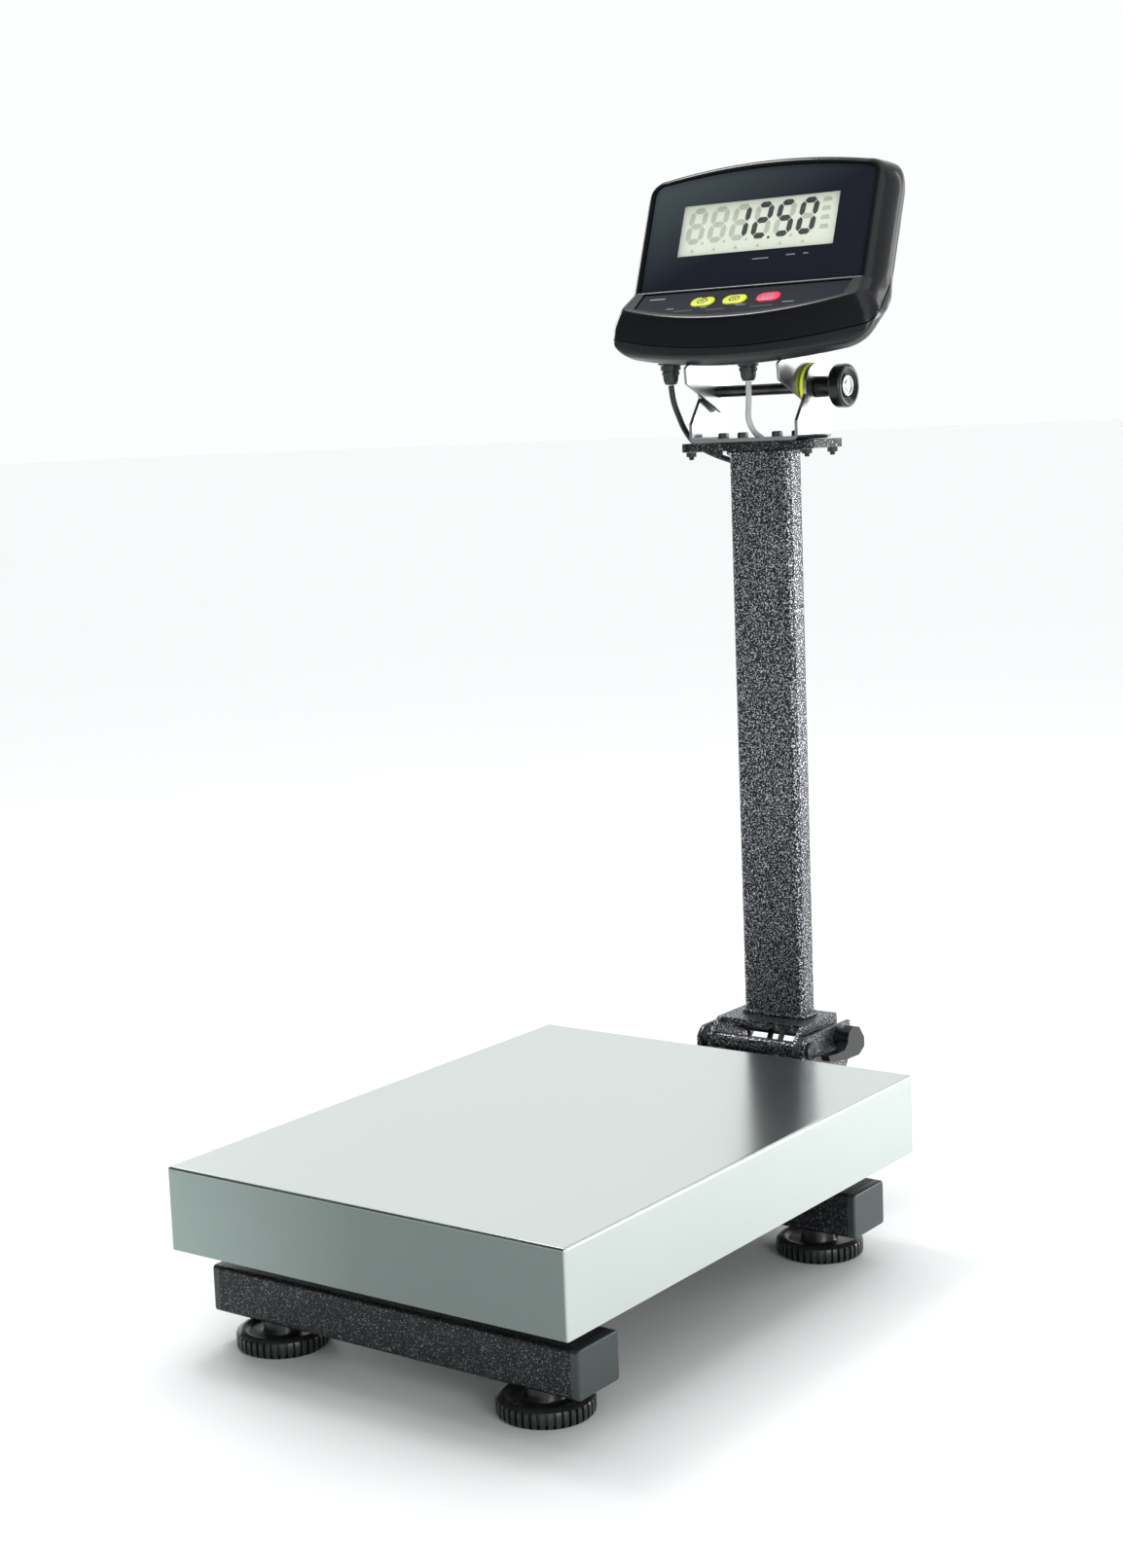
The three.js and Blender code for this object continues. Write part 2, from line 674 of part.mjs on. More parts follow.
function indicatorBracket() {
  // The web lies along the sloping underside, a gap below it.
  const slope = rad(housing.shelfSlope);
  const onSlope = (y, depth) => [
    y + depth * Math.sin(slope),
    595.8 + (y - 446) * Math.tan(slope) - depth * Math.cos(slope),
  ];
  const ear = [
    [439, 592.6],
    [440, 581.7],
    [475, 566],
    [484, 561],
    [490, 562.5],
    [497.5, 575],
    [500, 600],
    [498, 626],
    onSlope(bracket.webRear, gap),
    onSlope(446.5, gap),
    [441, 593.9],
  ];
  const inner = bracket.half - bracket.sheet;
  const ears = [[-bracket.half, -inner], [inner, bracket.half]].map(([x0, x1]) => prismX(ear, x0, x1));
  const web = prismX([
    onSlope(bracket.webFront, bracket.sheet + gap),
    onSlope(bracket.webRear, bracket.sheet + gap),
    onSlope(bracket.webRear, gap),
    onSlope(bracket.webFront, gap),
  ], -bracket.half, bracket.half);
  return cut(join(...ears, web), cylinderX(pivot.bore, -60, 60, pivot.y, pivot.z));
}

function key() {
  const shape = oval(keypad.keyLong, keypad.keyShort, 0, 0);
  return extrude(shape, keypad.keyTall).translate(0, 0, gap - keypad.keyTall);
}

function addIndicator() {
  addPiece('indicator_front_shell', frontShell(), 'blackPlastic');
  addPiece('indicator_rear_shell', rearShell(), 'blackPlastic');
  addPiece('indicator_bracket', indicatorBracket(), 'stainless');
  glandShape.places.forEach(([x, y], i) => {
    addPiece(i === 0 ? 'power_gland' : 'signal_gland', gland(), 'greyPlastic').position.set(x, y, 0);
  });

  const face = faceSpace();
  model.add(face);
  const windowHole = roundedRect(lcd.half, lcd.low, lcd.high, 0.5).reverse();
  const film = extrude(faceOutline(0), display.film, [windowHole]).translate(0, 0, -display.film);
  addPiece('display_overlay', film, 'film', face);
  const paneOutline = roundedRect(lcd.half + lcd.lap, lcd.low - lcd.lap, lcd.high + lcd.lap, 1);
  const pane = extrude(paneOutline, electronics.paneThick);
  addPiece('display_window', pane, 'clear', face).position.z = electronics.paneBack;
  const lcdBody = box([-67, 22, electronics.lcdBack], [67, 68, electronics.lcdFront]);
  addPiece('lcd_module', lcdBody, 'clear', face);
  addPiece('circuit_board', box([-75, 5, -16], [75, 74, -14.4]), 'board', face);
  addPiece('battery_pack', box([-35, 12, -33], [35, 46, -19]), 'greyLead', face);

  const shelf = shelfSpace();
  model.add(shelf);
  const wellLong = keypad.keyLong + 0.8;
  const wellShort = keypad.keyShort + 0.8;
  const keyWells = keyPlaces.map(([x, y]) => oval(wellLong, wellShort, x, y).reverse());
  const padFilm = extrude(keypadOutline(0), display.film, keyWells).translate(0, 0, -display.film);
  addPiece('keypad_overlay', padFilm, 'film', shelf);
  keyPlaces.forEach(([x, y], i) => {
    const names = ['key_print', 'key_tare', 'key_zero'];
    addPiece(names[i], key(), i < 2 ? 'yellow' : 'red', shelf).position.set(x, y, 0);
  });
}

// Leads: each runs gland, column bore, hinge, base.

function addLead(name, points, finish) {
  const route = points.map((point) => new THREE.Vector3(...point));
  const steps = Math.min(40, (points.length - 1) * 4);
  addPiece(name, tubeAlong(route, lead.radius, lead.sides, steps), finish);
}

function addLeads() {
  addLead('signal_lead_head', [
    [0, 462.5, 581.6], [0, 462, 567], [0.5, 460.5, 556], [2.5, 464, 547],
    [4.5, 473, 541], [lead.x, 480.5, 536], [lead.x, 482, 531.5], [lead.x, 482, 528.2],
  ], 'greyLead');
  addLead('signal_lead_column', [[lead.x, 482, 527.6], [lead.x, 482, 326], [lead.x, 482, 128.4]], 'greyLead');
  addLead('signal_lead_base', [
    [lead.x, 482, 128], [lead.x, 482, 125], [lead.x, 480.5, 118], [lead.x, 472, 106], [lead.x, 462, 92],
    [lead.x, 446, 76], [lead.x, 428, 62], [lead.x, 405, 56], [lead.x, 370, 53.2], [lead.x, 320, 53.2],
    [lead.x, 290, 56], [lead.x, 278, 65], [lead.x, 271, 67], [lead.x, 265.6, 67],
  ], 'greyLead');
  addLead('power_lead_head', [
    [-62, 459, 581.6], [-61.5, 461, 570], [-60.5, 466, 559], [-60, 472, 550],
    [-59.5, 481, 542], [-59, 493, 536], [-52, 503.5, 530], [-36, 507, 524], [-18, 504, 518],
    [-7, 497, 513], [-lead.x, 488, 511],
  ], 'blackPlastic');
  addLead('power_lead_column', [
    [-lead.x, 484, 509], [-lead.x, 482, 480], [-lead.x, 482, 300], [-lead.x, 482, 128.4],
  ], 'blackPlastic');
  addLead('power_lead_base', [
    [-lead.x, 482, 128], [-lead.x, 482, 125], [-lead.x, 480.5, 118], [-lead.x, 474, 106],
    [-9, 472, 96], [-18, 473, 91], [-29.6, socket.y, socket.z],
  ], 'blackPlastic');
}

addBaseFrame();
addPlatform();
addHinge();
addColumn();
addIndicator();
addLeads();

export default model;
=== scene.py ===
import math
from contextlib import contextmanager

import bmesh
import bpy
from mathutils import Matrix, Vector


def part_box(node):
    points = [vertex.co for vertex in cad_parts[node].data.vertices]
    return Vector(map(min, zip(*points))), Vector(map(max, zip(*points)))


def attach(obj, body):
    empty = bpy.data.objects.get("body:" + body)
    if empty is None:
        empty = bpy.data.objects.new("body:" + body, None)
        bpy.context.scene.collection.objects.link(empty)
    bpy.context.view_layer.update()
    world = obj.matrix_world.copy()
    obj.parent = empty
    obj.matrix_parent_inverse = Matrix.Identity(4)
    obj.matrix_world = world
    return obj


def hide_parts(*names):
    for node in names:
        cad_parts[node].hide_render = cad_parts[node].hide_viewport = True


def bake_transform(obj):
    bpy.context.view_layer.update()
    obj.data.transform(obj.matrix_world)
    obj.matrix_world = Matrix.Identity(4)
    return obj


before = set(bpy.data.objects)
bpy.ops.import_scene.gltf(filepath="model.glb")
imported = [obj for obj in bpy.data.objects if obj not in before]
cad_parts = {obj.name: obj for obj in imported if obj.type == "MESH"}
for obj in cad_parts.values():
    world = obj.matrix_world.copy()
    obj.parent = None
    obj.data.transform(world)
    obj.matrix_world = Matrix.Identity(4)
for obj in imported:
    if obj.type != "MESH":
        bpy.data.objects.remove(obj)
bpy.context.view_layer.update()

mm = 0.001
xAxis = Vector((1, 0, 0))
yAxis = Vector((0, 1, 0))
zAxis = Vector((0, 0, 1))


# Camera, floor and light

viewpoint = {"at": (0.897, -1.28285, 0.559), "yaw": -37.7, "pitch": -8.37, "roll": -2.53,
             "lens": 55.83, "shift": 0.0478}
studio = {"floorSize": 120, "floorColour": (0.86, 0.875, 0.875), "brightest": 1.0,
          "sky": 1.62, "skyAngle": 55, "skyFrom": (-0.25, 0.35, 1)}
# darker sides of the room: where they lie, how much light they take, and where they begin
shades = [((-0.6, -0.76, 0.2), 0.92, 0.25), ((0.8, 0.6, 0.12), 0.62, 0.55), ((-0.3, 0.1, 1), 0.35, 0.6)]
softboxes = {
    "rightBox": {"at": (1.9, -0.95, 0.6), "towards": (0, 0.1, 0.3), "size": 0.8, "power": 9},
    "rearBox": {"at": (1.6, 2.1, 0.22), "towards": (0, 0.1, 0.15), "size": 0.8, "power": 17},
    "sideStrip": {"at": (1.15, 1.8, 0.95), "towards": (0, 0.2, 0.65), "size": 0.16, "tall": 1.5,
                  "power": 3.5},
    "topBox": {"at": (-1.0, 0.2, 2.3), "towards": (0, 0.17, 0.62), "size": 0.4, "power": 9},
    "leftStrip": {"at": (-1.8, 0.75, 0.9), "towards": (0, 0.1, 0.5), "size": 0.6, "power": 5},
}


def makeCamera():
    yaw, pitch, roll = (math.radians(viewpoint[key]) for key in ("yaw", "pitch", "roll"))
    forward = Vector((math.sin(yaw) * math.cos(pitch), math.cos(yaw) * math.cos(pitch), math.sin(pitch)))
    level = Vector((math.cos(yaw), -math.sin(yaw), 0))
    upright = level.cross(forward)
    right = level * math.cos(roll) + upright * math.sin(roll)
    up = upright * math.cos(roll) - level * math.sin(roll)
    bpy.ops.object.camera_add()
    camera = bpy.context.active_object
    camera.name = "productView"
    turn = Matrix((right, up, -forward)).transposed().to_4x4()
    camera.matrix_world = Matrix.Translation(viewpoint["at"]) @ turn
    camera.data.lens = viewpoint["lens"]
    camera.data.sensor_width = 36
    camera.data.shift_x = viewpoint["shift"]
    bpy.context.scene.camera = camera


def makeLights():
    for name, box in softboxes.items():
        bpy.ops.object.light_add(type="AREA", location=box["at"])
        light = bpy.context.active_object
        light.name = name
        light.data.shape = "RECTANGLE"
        light.data.size = box["size"]
        light.data.size_y = box.get("tall", box["size"])
        light.data.energy = box["power"]
        aim = Vector(box["towards"]) - Vector(box["at"])
        light.rotation_euler = aim.to_track_quat("-Z", "Y").to_euler()
        light.visible_camera = False
    bpy.ops.object.light_add(type="SUN")
    sky = bpy.context.active_object
    sky.name = "softSky"
    sky.data.energy = studio["sky"]
    sky.data.angle = math.radians(studio["skyAngle"])
    sky.visible_glossy = False
    sky.rotation_euler = (-Vector(studio["skyFrom"])).to_track_quat("-Z", "Y").to_euler()


def selectNone():
    bpy.ops.object.select_all(action="DESELECT")


selectNone()
makeCamera()
makeLights()
print("camera and lights")


# Materials

class Wire:
    # an output socket that can be used in arithmetic
    def __init__(self, finish, socket):
        self.finish = finish
        self.socket = socket

    def maths(self, operation, first, second):
        return self.finish.node("Math", {"operation": operation}, {0: first, 1: second})

    def __add__(self, other):
        return self.maths("ADD", self, other)

    __radd__ = __add__

    def __sub__(self, other):
        return self.maths("SUBTRACT", self, other)

    def __rsub__(self, other):
        return self.maths("SUBTRACT", other, self)

    def __mul__(self, other):
        return self.maths("MULTIPLY", self, other)

    __rmul__ = __mul__


class Finish:
    def __init__(self, name, **fixed):
        self.material = bpy.data.materials.new(name)
        self.material.use_nodes = True
        self.tree = self.material.node_tree
        self.shader = self.tree.nodes["Principled BSDF"]
        for socket, value in fixed.items():
            self.shader.inputs[socket.replace("_", " ")].default_value = value

    def node(self, kind, settings=None, sockets=None, output=0):
        made = self.tree.nodes.new("ShaderNode" + kind)
        for name, value in (settings or {}).items():
            if name == "stops":
                self.setStops(made.color_ramp, value)
            else:
                setattr(made, name, value)
        for name, value in (sockets or {}).items():
            self.plug(made.inputs[name], value)
        return Wire(self, made.outputs[output])

    def setStops(self, ramp, stops):
        for place, colour in stops[2:]:
            ramp.elements.new(place)
        for element, (place, colour) in zip(ramp.elements, stops):
            element.position = place
            element.color = colour

    def plug(self, socket, value):
        if isinstance(value, Wire):
            self.tree.links.new(value.socket, socket)
        else:
            socket.default_value = value

    def drive(self, **sockets):
        for name, value in sockets.items():
            self.plug(self.shader.inputs[name.replace("_", " ")], value)
        return self

    def place(self, scale=(1, 1, 1)):
        where = self.node("TexCoord", output="Object")
        return self.node("Mapping", {}, {"Vector": where, "Scale": scale})

    def position(self, axis):
        return self.node("SeparateXYZ", {}, {0: self.node("TexCoord", output="Object")}, axis)

    def noise(self, scale, detail=2, stretch=(1, 1, 1), distortion=0.0, roughness=0.5):
        return self.node("TexNoise", {}, {"Vector": self.place(stretch), "Scale": scale, "Detail": detail,
                                          "Distortion": distortion, "Roughness": roughness})

    def ramp(self, value, *stops):
        return self.node("ValToRGB", {"stops": [(place, grey(c)) for place, c in stops]}, {0: value})

    def blend(self, mask, low, high):
        return self.node("Mix", {"data_type": "RGBA"}, {0: mask, 6: grey(low), 7: grey(high)}, 2)

    def bump(self, height, strength, distance):
        return self.node("Bump", {}, {"Height": height, "Strength": strength, "Distance": distance})


def grey(colour):
    if isinstance(colour, Wire):
        return colour
    if isinstance(colour, (int, float)):
        return (colour, colour, colour, 1)
    return (*colour, 1)


def scaled(colour, share):
    return [c * share for c in colour]


def makeHammered(name, start, shine, crack):
    # black paint that dried in a fine net of silver veins
    finish = Finish(name, Coat_Weight=0.06, Coat_Roughness=0.2, Specular_IOR_Level=0.3)
    veins = finish.noise(crack, 1.0, distortion=0.7, roughness=0.35)
    silver = finish.ramp(veins, (start, 0), (start + 0.06, 1))
    tint = finish.blend(finish.noise(9, 1), scaled(shine, 0.7), shine)
    return finish.drive(
        Base_Color=finish.blend(silver, (0.0035, 0.004, 0.006), tint),
        Metallic=silver * 0.9,
        Roughness=0.42 - 0.16 * silver,
        Normal=finish.bump(veins, 0.5, 0.0006),
    ).material


def makeSheetSteel(name, top, shadedSkirt, corner):
    # the top is smoother than the folds. Painted reflections in the colour: the front and back folds are
    # painted dark and lighter towards the left, and the folds at the left and right ends are painted nearly as
    # light as the top
    finish = Finish(name, Metallic=1.0)
    height, sideways = finish.position("Z"), finish.position("X")
    outward = finish.node("Math", {"operation": "ABSOLUTE"}, {0: sideways})
    upper = finish.ramp((height - (corner.z - 0.0022)) * 500, (0.0, 0), (1.0, 1))
    litEndFolds = finish.ramp((outward - (corner.x - 0.0018)) * 600, (0.0, 0), (1.0, 1))
    strokes = finish.noise(420, 3, (9, 0.35, 9))
    cloud = finish.noise(5, 2)
    bright = finish.blend(cloud, scaled(top, 0.95), top)
    # painted reflection: the front and back folds grow lighter towards the left
    litLeftEnd = finish.ramp(sideways * -3.0, (-0.1, 0), (0.45, 1))
    front = finish.blend(litLeftEnd, shadedSkirt, scaled(shadedSkirt, 1.7))
    # painted light: the folds at the left and right ends take nearly the top's colour
    foldLightAndShade = finish.blend(litEndFolds, front, scaled(top, 0.93))
    foldShadeAndTone = finish.blend(cloud * 0.12, foldLightAndShade, 0.1)
    return finish.drive(
        Base_Color=finish.blend(upper, foldShadeAndTone, bright),
        Roughness=0.36 - 0.19 * upper + 0.06 * strokes + 0.04 * cloud,
        Normal=finish.bump(strokes, 0.02, 0.0002),
    ).material


def makeBrushed(name, colour, rough, stretch, grain):
    finish = Finish(name, Metallic=1.0)
    strokes = finish.noise(420, 3, stretch)
    cloud = finish.noise(5, 2)
    tint = finish.blend(cloud, scaled(colour, 0.94), colour)
    return finish.drive(
        Base_Color=finish.blend(strokes * 0.35, tint, scaled(colour, 0.86)),
        Roughness=rough + 0.10 * strokes + 0.05 * cloud,
        Normal=finish.bump(strokes, grain, 0.0002),
    ).material


def makeSurface(name, patches, colours, rough, pores=None, depth=None, **fixed):
    # broad patches vary the colour and the roughness, and fine pores make the bumps
    finish = Finish(name, **fixed)
    mask = finish.noise(*patches)
    finish.drive(Base_Color=finish.blend(mask, *colours), Roughness=rough[0] + rough[1] * mask)
    if pores:
        finish.drive(Normal=finish.bump(finish.noise(*pores), *depth))
    return finish.material


def makePlastic(name, colour, rough, texture=0.05, coat=0.0, shine=0.5):
    lighter = [c * 1.35 + 0.002 for c in colour]
    return makeSurface(name, (14, 2), (colour, lighter), (rough, 0.08), (1 / 0.0006, 2), (texture, 0.0002),
                       Coat_Weight=coat, Coat_Roughness=0.06, Specular_IOR_Level=shine)


def makeRubber():
    return makeSurface("footRubber", (60, 4), ((0.011, 0.012, 0.013), (0.028, 0.030, 0.031)), (0.20, 0.15),
                       (2600, 2), (0.12, 0.0002))


def makePlated(name, low, high, rough):
    return makeSurface(name, (130, 3), (low, high), (rough, 0.18), (1900, 2), (0.10, 0.0002), Metallic=1.0)


def makePrint(name, colour):
    return makeSurface(name, (900, 2), (scaled(colour, 0.85), colour), (0.40, 0.1))


def makeFilmWithSheen(low, high):
    # a printed film with a painted reflection: lighter towards its upper left corner
    finish = Finish("overlayFilm", Specular_IOR_Level=0.10)
    lean = (finish.position("Z") - low) * (1 / (high - low)) - finish.position("X") * 5.5
    fade = finish.ramp(lean * 0.5, (0.22, 0), (0.80, 1))
    grain = finish.noise(3600, 2)
    return finish.drive(
        Base_Color=finish.blend(fade, (0.0135, 0.0165, 0.0275), (0.085, 0.112, 0.118)),
        Roughness=0.42 + 0.10 * grain,
        Normal=finish.bump(grain, 0.05, 0.0001),
    ).material


def makeGlowingLcd():
    # painted light: the glass is given a faint glow
    finish = Finish("lcdGlass", Coat_Weight=0.1, Coat_Roughness=0.08, Emission_Strength=0.2,
                    Emission_Color=(0.80, 0.86, 0.72, 1))
    cloud = finish.noise(22, 2)
    fine = finish.noise(2400, 1)
    return finish.drive(
        Base_Color=finish.blend(cloud, (0.78, 0.84, 0.70), (0.86, 0.91, 0.78)),
        Roughness=0.34 + 0.08 * fine,
    ).material


def makeClear():
    finish = Finish("clearPane", Roughness=0.04, Alpha=0.05)
    haze = finish.noise(40, 2)
    return finish.drive(Base_Color=finish.blend(haze, 0.75, 0.9)).material


def makeBoard():
    finish = Finish("solderMask")
    tracks = finish.node("TexBrick", {}, {"Vector": finish.place(), "Scale": 160, "Mortar Size": 0.03}, 1)
    return finish.drive(
        Base_Color=finish.blend(tracks, (0.012, 0.10, 0.035), (0.03, 0.20, 0.07)),
        Roughness=0.35 + 0.15 * tracks,
    ).material


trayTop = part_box("platform_tray")[1]
filmLow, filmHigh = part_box("display_overlay")
paints = {
    "hammered_paint": makeHammered("hammeredPaint", 0.555, (0.72, 0.74, 0.80), 1000),
    "plug_plastic": makePlastic("plugPlastic", (0.026, 0.038, 0.038), 0.26, 0.08),
    "foot_rubber": makeRubber(),
    "cell_aluminium": makeBrushed("cellAluminium", (0.72, 0.73, 0.74), 0.30, (1, 6, 1), 0.05),
    "zinc_steel": makePlated("zincSteel", 0.40, 0.66, 0.24),
    # the second colour is the painted shade of the tray's front and back folds
    "stainless": makeSheetSteel("trayStainless", (0.69, 0.745, 0.725), (0.215, 0.262, 0.248), trayTop),
    "black_steel": makePlated("blackSteel", 0.045, 0.13, 0.24),
    "black_plastic": makePlastic("glossBlack", (0.0040, 0.0046, 0.0062), 0.20, 0.015, 0.25, 0.35),
    "yellow_plastic": makePlastic("yellowPlastic", (0.72, 0.80, 0.03), 0.35),
    "red_plastic": makePlastic("redPlastic", (0.78, 0.03, 0.10), 0.32),
    "overlay_film": makeFilmWithSheen(filmLow.z, filmHigh.z),
    "clear_pane": makeClear(),
    "lcd_glass": makeGlowingLcd(),
    "board_green": makeBoard(),
    "battery_wrap": makePlastic("shrinkWrap", (0.30, 0.31, 0.32), 0.35),
    "grey_lead": makePlastic("greyJacket", (0.50, 0.52, 0.51), 0.38),
    "black_lead": makePlastic("blackJacket", (0.010, 0.011, 0.012), 0.34),
}
barPaint = makeHammered("barPaint", 0.62, (0.30, 0.32, 0.34), 1300)
platePaint = makeHammered("platePaint", 0.60, (0.34, 0.35, 0.38), 900)
satinShell = makePlastic("satinShell", (0.0085, 0.0118, 0.0120), 0.27, 0.05, 0.1, 0.38)
yokeSteel = makeBrushed("yokeStainless", (0.40, 0.415, 0.42), 0.22, (1, 9, 1), 0.02)
inkDark = makePrint("inkDark", (0.010, 0.013, 0.012))
inkGhost = makePrint("inkGhost", (0.70, 0.76, 0.63))
inkWhite = makePrint("inkWhite", (0.34, 0.35, 0.37))
inkNavy = makePrint("inkNavy", (0.004, 0.005, 0.010))

keptNodes = {"cell_spacer_lower": "zinc_steel", "cell_spacer_upper": "zinc_steel",
             "circuit_board": "board_green", "battery_pack": "battery_wrap"}
for node, slot in keptNodes.items():
    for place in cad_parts[node].material_slots:
        place.material = paints[slot]
print("materials")


# Floor and room

def makeStage():
    bpy.ops.mesh.primitive_plane_add(size=studio["floorSize"])
    floor = bpy.context.active_object
    floor.name = "studioFloor"
    finish = Finish("paleFloor")
    cloud = finish.noise(1.5, 2)
    colour = studio["floorColour"]
    finish.drive(Base_Color=finish.blend(cloud, colour, scaled(colour, 1.02)), Roughness=0.6 + 0.05 * cloud)
    floor.data.materials.append(finish.material)
    world = bpy.data.worlds.new("studioRoom")
    world.use_nodes = True
    bpy.context.scene.world = world
    nodes, links = world.node_tree.nodes, world.node_tree.links
    where = nodes.new("ShaderNodeTexCoord").outputs["Generated"]
    # each shade takes its share away from the light that the one before it left
    light = None
    for direction, depth, begins in shades:
        facing, fade, rest = (nodes.new("ShaderNode" + kind) for kind in ("VectorMath", "MapRange", "Math"))
        facing.operation = "DOT_PRODUCT"
        facing.inputs[1].default_value = Vector(direction).normalized()
        fade.interpolation_type = "SMOOTHSTEP"
        for socket, value in {"From Min": begins, "From Max": 0.97, "To Min": 0, "To Max": depth}.items():
            fade.inputs[socket].default_value = value
        rest.operation = "SUBTRACT"
        rest.use_clamp = True
        rest.inputs[0].default_value = studio["brightest"]
        links.new(where, facing.inputs[0])
        links.new(facing.outputs["Value"], fade.inputs["Value"])
        links.new(fade.outputs["Result"], rest.inputs[1])
        if light:
            links.new(light, rest.inputs[0])
        light = rest.outputs[0]
    links.new(light, nodes["Background"].inputs["Strength"])
    nodes["Background"].inputs["Color"].default_value = (0.985, 1, 1, 1)
    bpy.context.scene.view_settings.view_transform = "Standard"


makeStage()


# Modelling tools

def activate(piece):
    selectNone()
    piece.select_set(True)
    bpy.context.view_layer.objects.active = piece


@contextmanager
def editing(piece, element="FACE"):
    activate(piece)
    bpy.ops.object.mode_set(mode="EDIT")
    bpy.ops.mesh.select_mode(type=element)
    bpy.ops.mesh.select_all(action="DESELECT")
    yield
    bpy.ops.object.mode_set(mode="OBJECT")


def selectAll():
    bpy.ops.mesh.select_all(action="SELECT")


def choose(piece, parts, test):
    bpy.ops.mesh.select_all(action="DESELECT")
    mesh = bmesh.from_edit_mesh(piece.data)
    for part in getattr(mesh, parts):
        if test(part):
            part.select_set(True)
    bmesh.update_edit_mesh(piece.data)


def chooseFaces(piece, test):
    choose(piece, "faces", lambda face: test(face.calc_center_median(), face.normal))


def chooseEdges(piece, test):
    choose(piece, "edges", lambda edge: test(edge.verts[0].co, edge.verts[1].co))


def push(shift=(0, 0, 0)):
    bpy.ops.mesh.extrude_region_move(TRANSFORM_OT_translate={"value": shift})


def roundEdges(width, segments=5):
    bpy.ops.mesh.bevel(offset=width * mm, segments=segments, affect="EDGES")


def recess(piece, test, shrink, centre):
    # the chosen faces are pushed in towards an axis
    chooseFaces(piece, test)
    push()
    bpy.ops.transform.resize(value=(shrink, shrink, 1), center_override=centre)


def settle(name):
    piece = bpy.context.active_object
    piece.name = name
    bpy.ops.object.transform_apply(location=True, rotation=True, scale=True)
    return piece


def block(name, low, high):
    selectNone()
    low, high = Vector(low), Vector(high)
    bpy.ops.mesh.primitive_cube_add(size=1, location=(low + high) / 2, scale=high - low)
    return settle(name)


def rod(name, radius, start, end, sides=48):
    selectNone()
    start, end = Vector(start), Vector(end)
    run = end - start
    turn = zAxis.rotation_difference(run).to_euler()
    bpy.ops.mesh.primitive_cylinder_add(vertices=sides, radius=radius, depth=run.length,
                                        location=(start + end) / 2, rotation=turn)
    return settle(name)


def ring(name, points, fill="NOTHING"):
    # a circle whose points are put on an outline
    selectNone()
    bpy.ops.mesh.primitive_circle_add(vertices=len(points), fill_type=fill)
    piece = bpy.context.active_object
    piece.name = name
    for vertex, point in zip(piece.data.vertices, points):
        vertex.co = point
    return piece


def tidyMesh(merge=1e-6):
    selectAll()
    bpy.ops.mesh.remove_doubles(threshold=merge)
    bpy.ops.mesh.delete_loose()
    selectAll()
    bpy.ops.mesh.normals_make_consistent(inside=False)


def plate(name, points, thickness):
    piece = ring(name, points, "NGON")
    with editing(piece):
        selectAll()
        push(thickness)
        tidyMesh()
    return piece


def turned(name, profile, centre, axis=zAxis, sides=48):
    # a closed outline of (radius, height) pairs in millimetres, spun about an axis
    across = yAxis if abs(axis.x) > 0.5 else xAxis
    piece = ring(name, [centre + across * r * mm + axis * h * mm for r, h in profile])
    with editing(piece, "VERT"):
        selectAll()
        bpy.ops.mesh.spin(steps=sides, angle=2 * math.pi, center=centre, axis=axis)
        tidyMesh()
    return piece


def modify(piece, kind, **settings):
    modifier = piece.modifiers.new(kind.title(), kind)
    for name, value in settings.items():
        setattr(modifier, name, value)
    activate(piece)
    bpy.ops.object.modifier_apply(modifier=modifier.name)
    return piece


def soften(piece, width, segments=2, angle=30):
    return modify(piece, "BEVEL", width=width * mm, segments=segments, limit_method="ANGLE",
                  angle_limit=math.radians(angle), miter_outer="MITER_ARC")


def carve(piece, *tools, operation="DIFFERENCE"):
    for tool in tools:
        modify(piece, "BOOLEAN", object=tool, operation=operation, solver="EXACT")
        bpy.data.objects.remove(tool)
    return piece


def together(name, pieces):
    selectNone()
    for piece in pieces:
        piece.select_set(True)
    bpy.context.view_layer.objects.active = pieces[0]
    if len(pieces) > 1:
        bpy.ops.object.join()
    pieces[0].name = name
    return pieces[0]


def linked(name, data):
    piece = bpy.data.objects.new(name, data)
    bpy.context.scene.collection.objects.link(piece)
    return piece


def fromNode(name, node):
    # a merged copy of a frame piece, ready to have its edges rounded
    piece = linked(name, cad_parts[node].data.copy())
    with editing(piece):
        tidyMesh()
        bpy.ops.mesh.dissolve_limited(angle_limit=math.radians(0.5))
    return piece


def deliver(piece, body, slot, nodes=(), finish=None, crisp=True, angle=38):
    activate(piece)
    bpy.ops.object.shade_smooth_by_angle(angle=math.radians(angle))
    if crisp:
        modify(piece, "WEIGHTED_NORMAL", keep_sharp=True, weight=60)
    piece.data.materials.clear()
    piece.data.materials.append(finish or paints[slot])
    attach(piece, body)
    if nodes:
        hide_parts(*nodes)
    return piece


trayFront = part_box("platform_tray")[0].y
fourCorners = [(row, side) for row in ("front", "rear") for side in ("left", "right")]


def at(x, y, z):
    # millimetres, with y measured from the tray's front edge
    return Vector((x * mm, trayFront + y * mm, z * mm))


def middle(node):
    low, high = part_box(node)
    return (low + high) / 2


def arc(cx, cy, radius, start, end, steps):
    angles = [math.radians(start + (end - start) * i / steps) for i in range(steps + 1)]
    return [(cx + radius * math.cos(a), cy + radius * math.sin(a)) for a in angles]


def roundedBox(halfX, lowY, highY, radius, steps=6):
    return [*arc(halfX - radius, lowY + radius, radius, -90, 0, steps),
            *arc(halfX - radius, highY - radius, radius, 0, 90, steps),
            *arc(-halfX + radius, highY - radius, radius, 90, 180, steps),
            *arc(-halfX + radius, lowY + radius, radius, 180, 270, steps)]


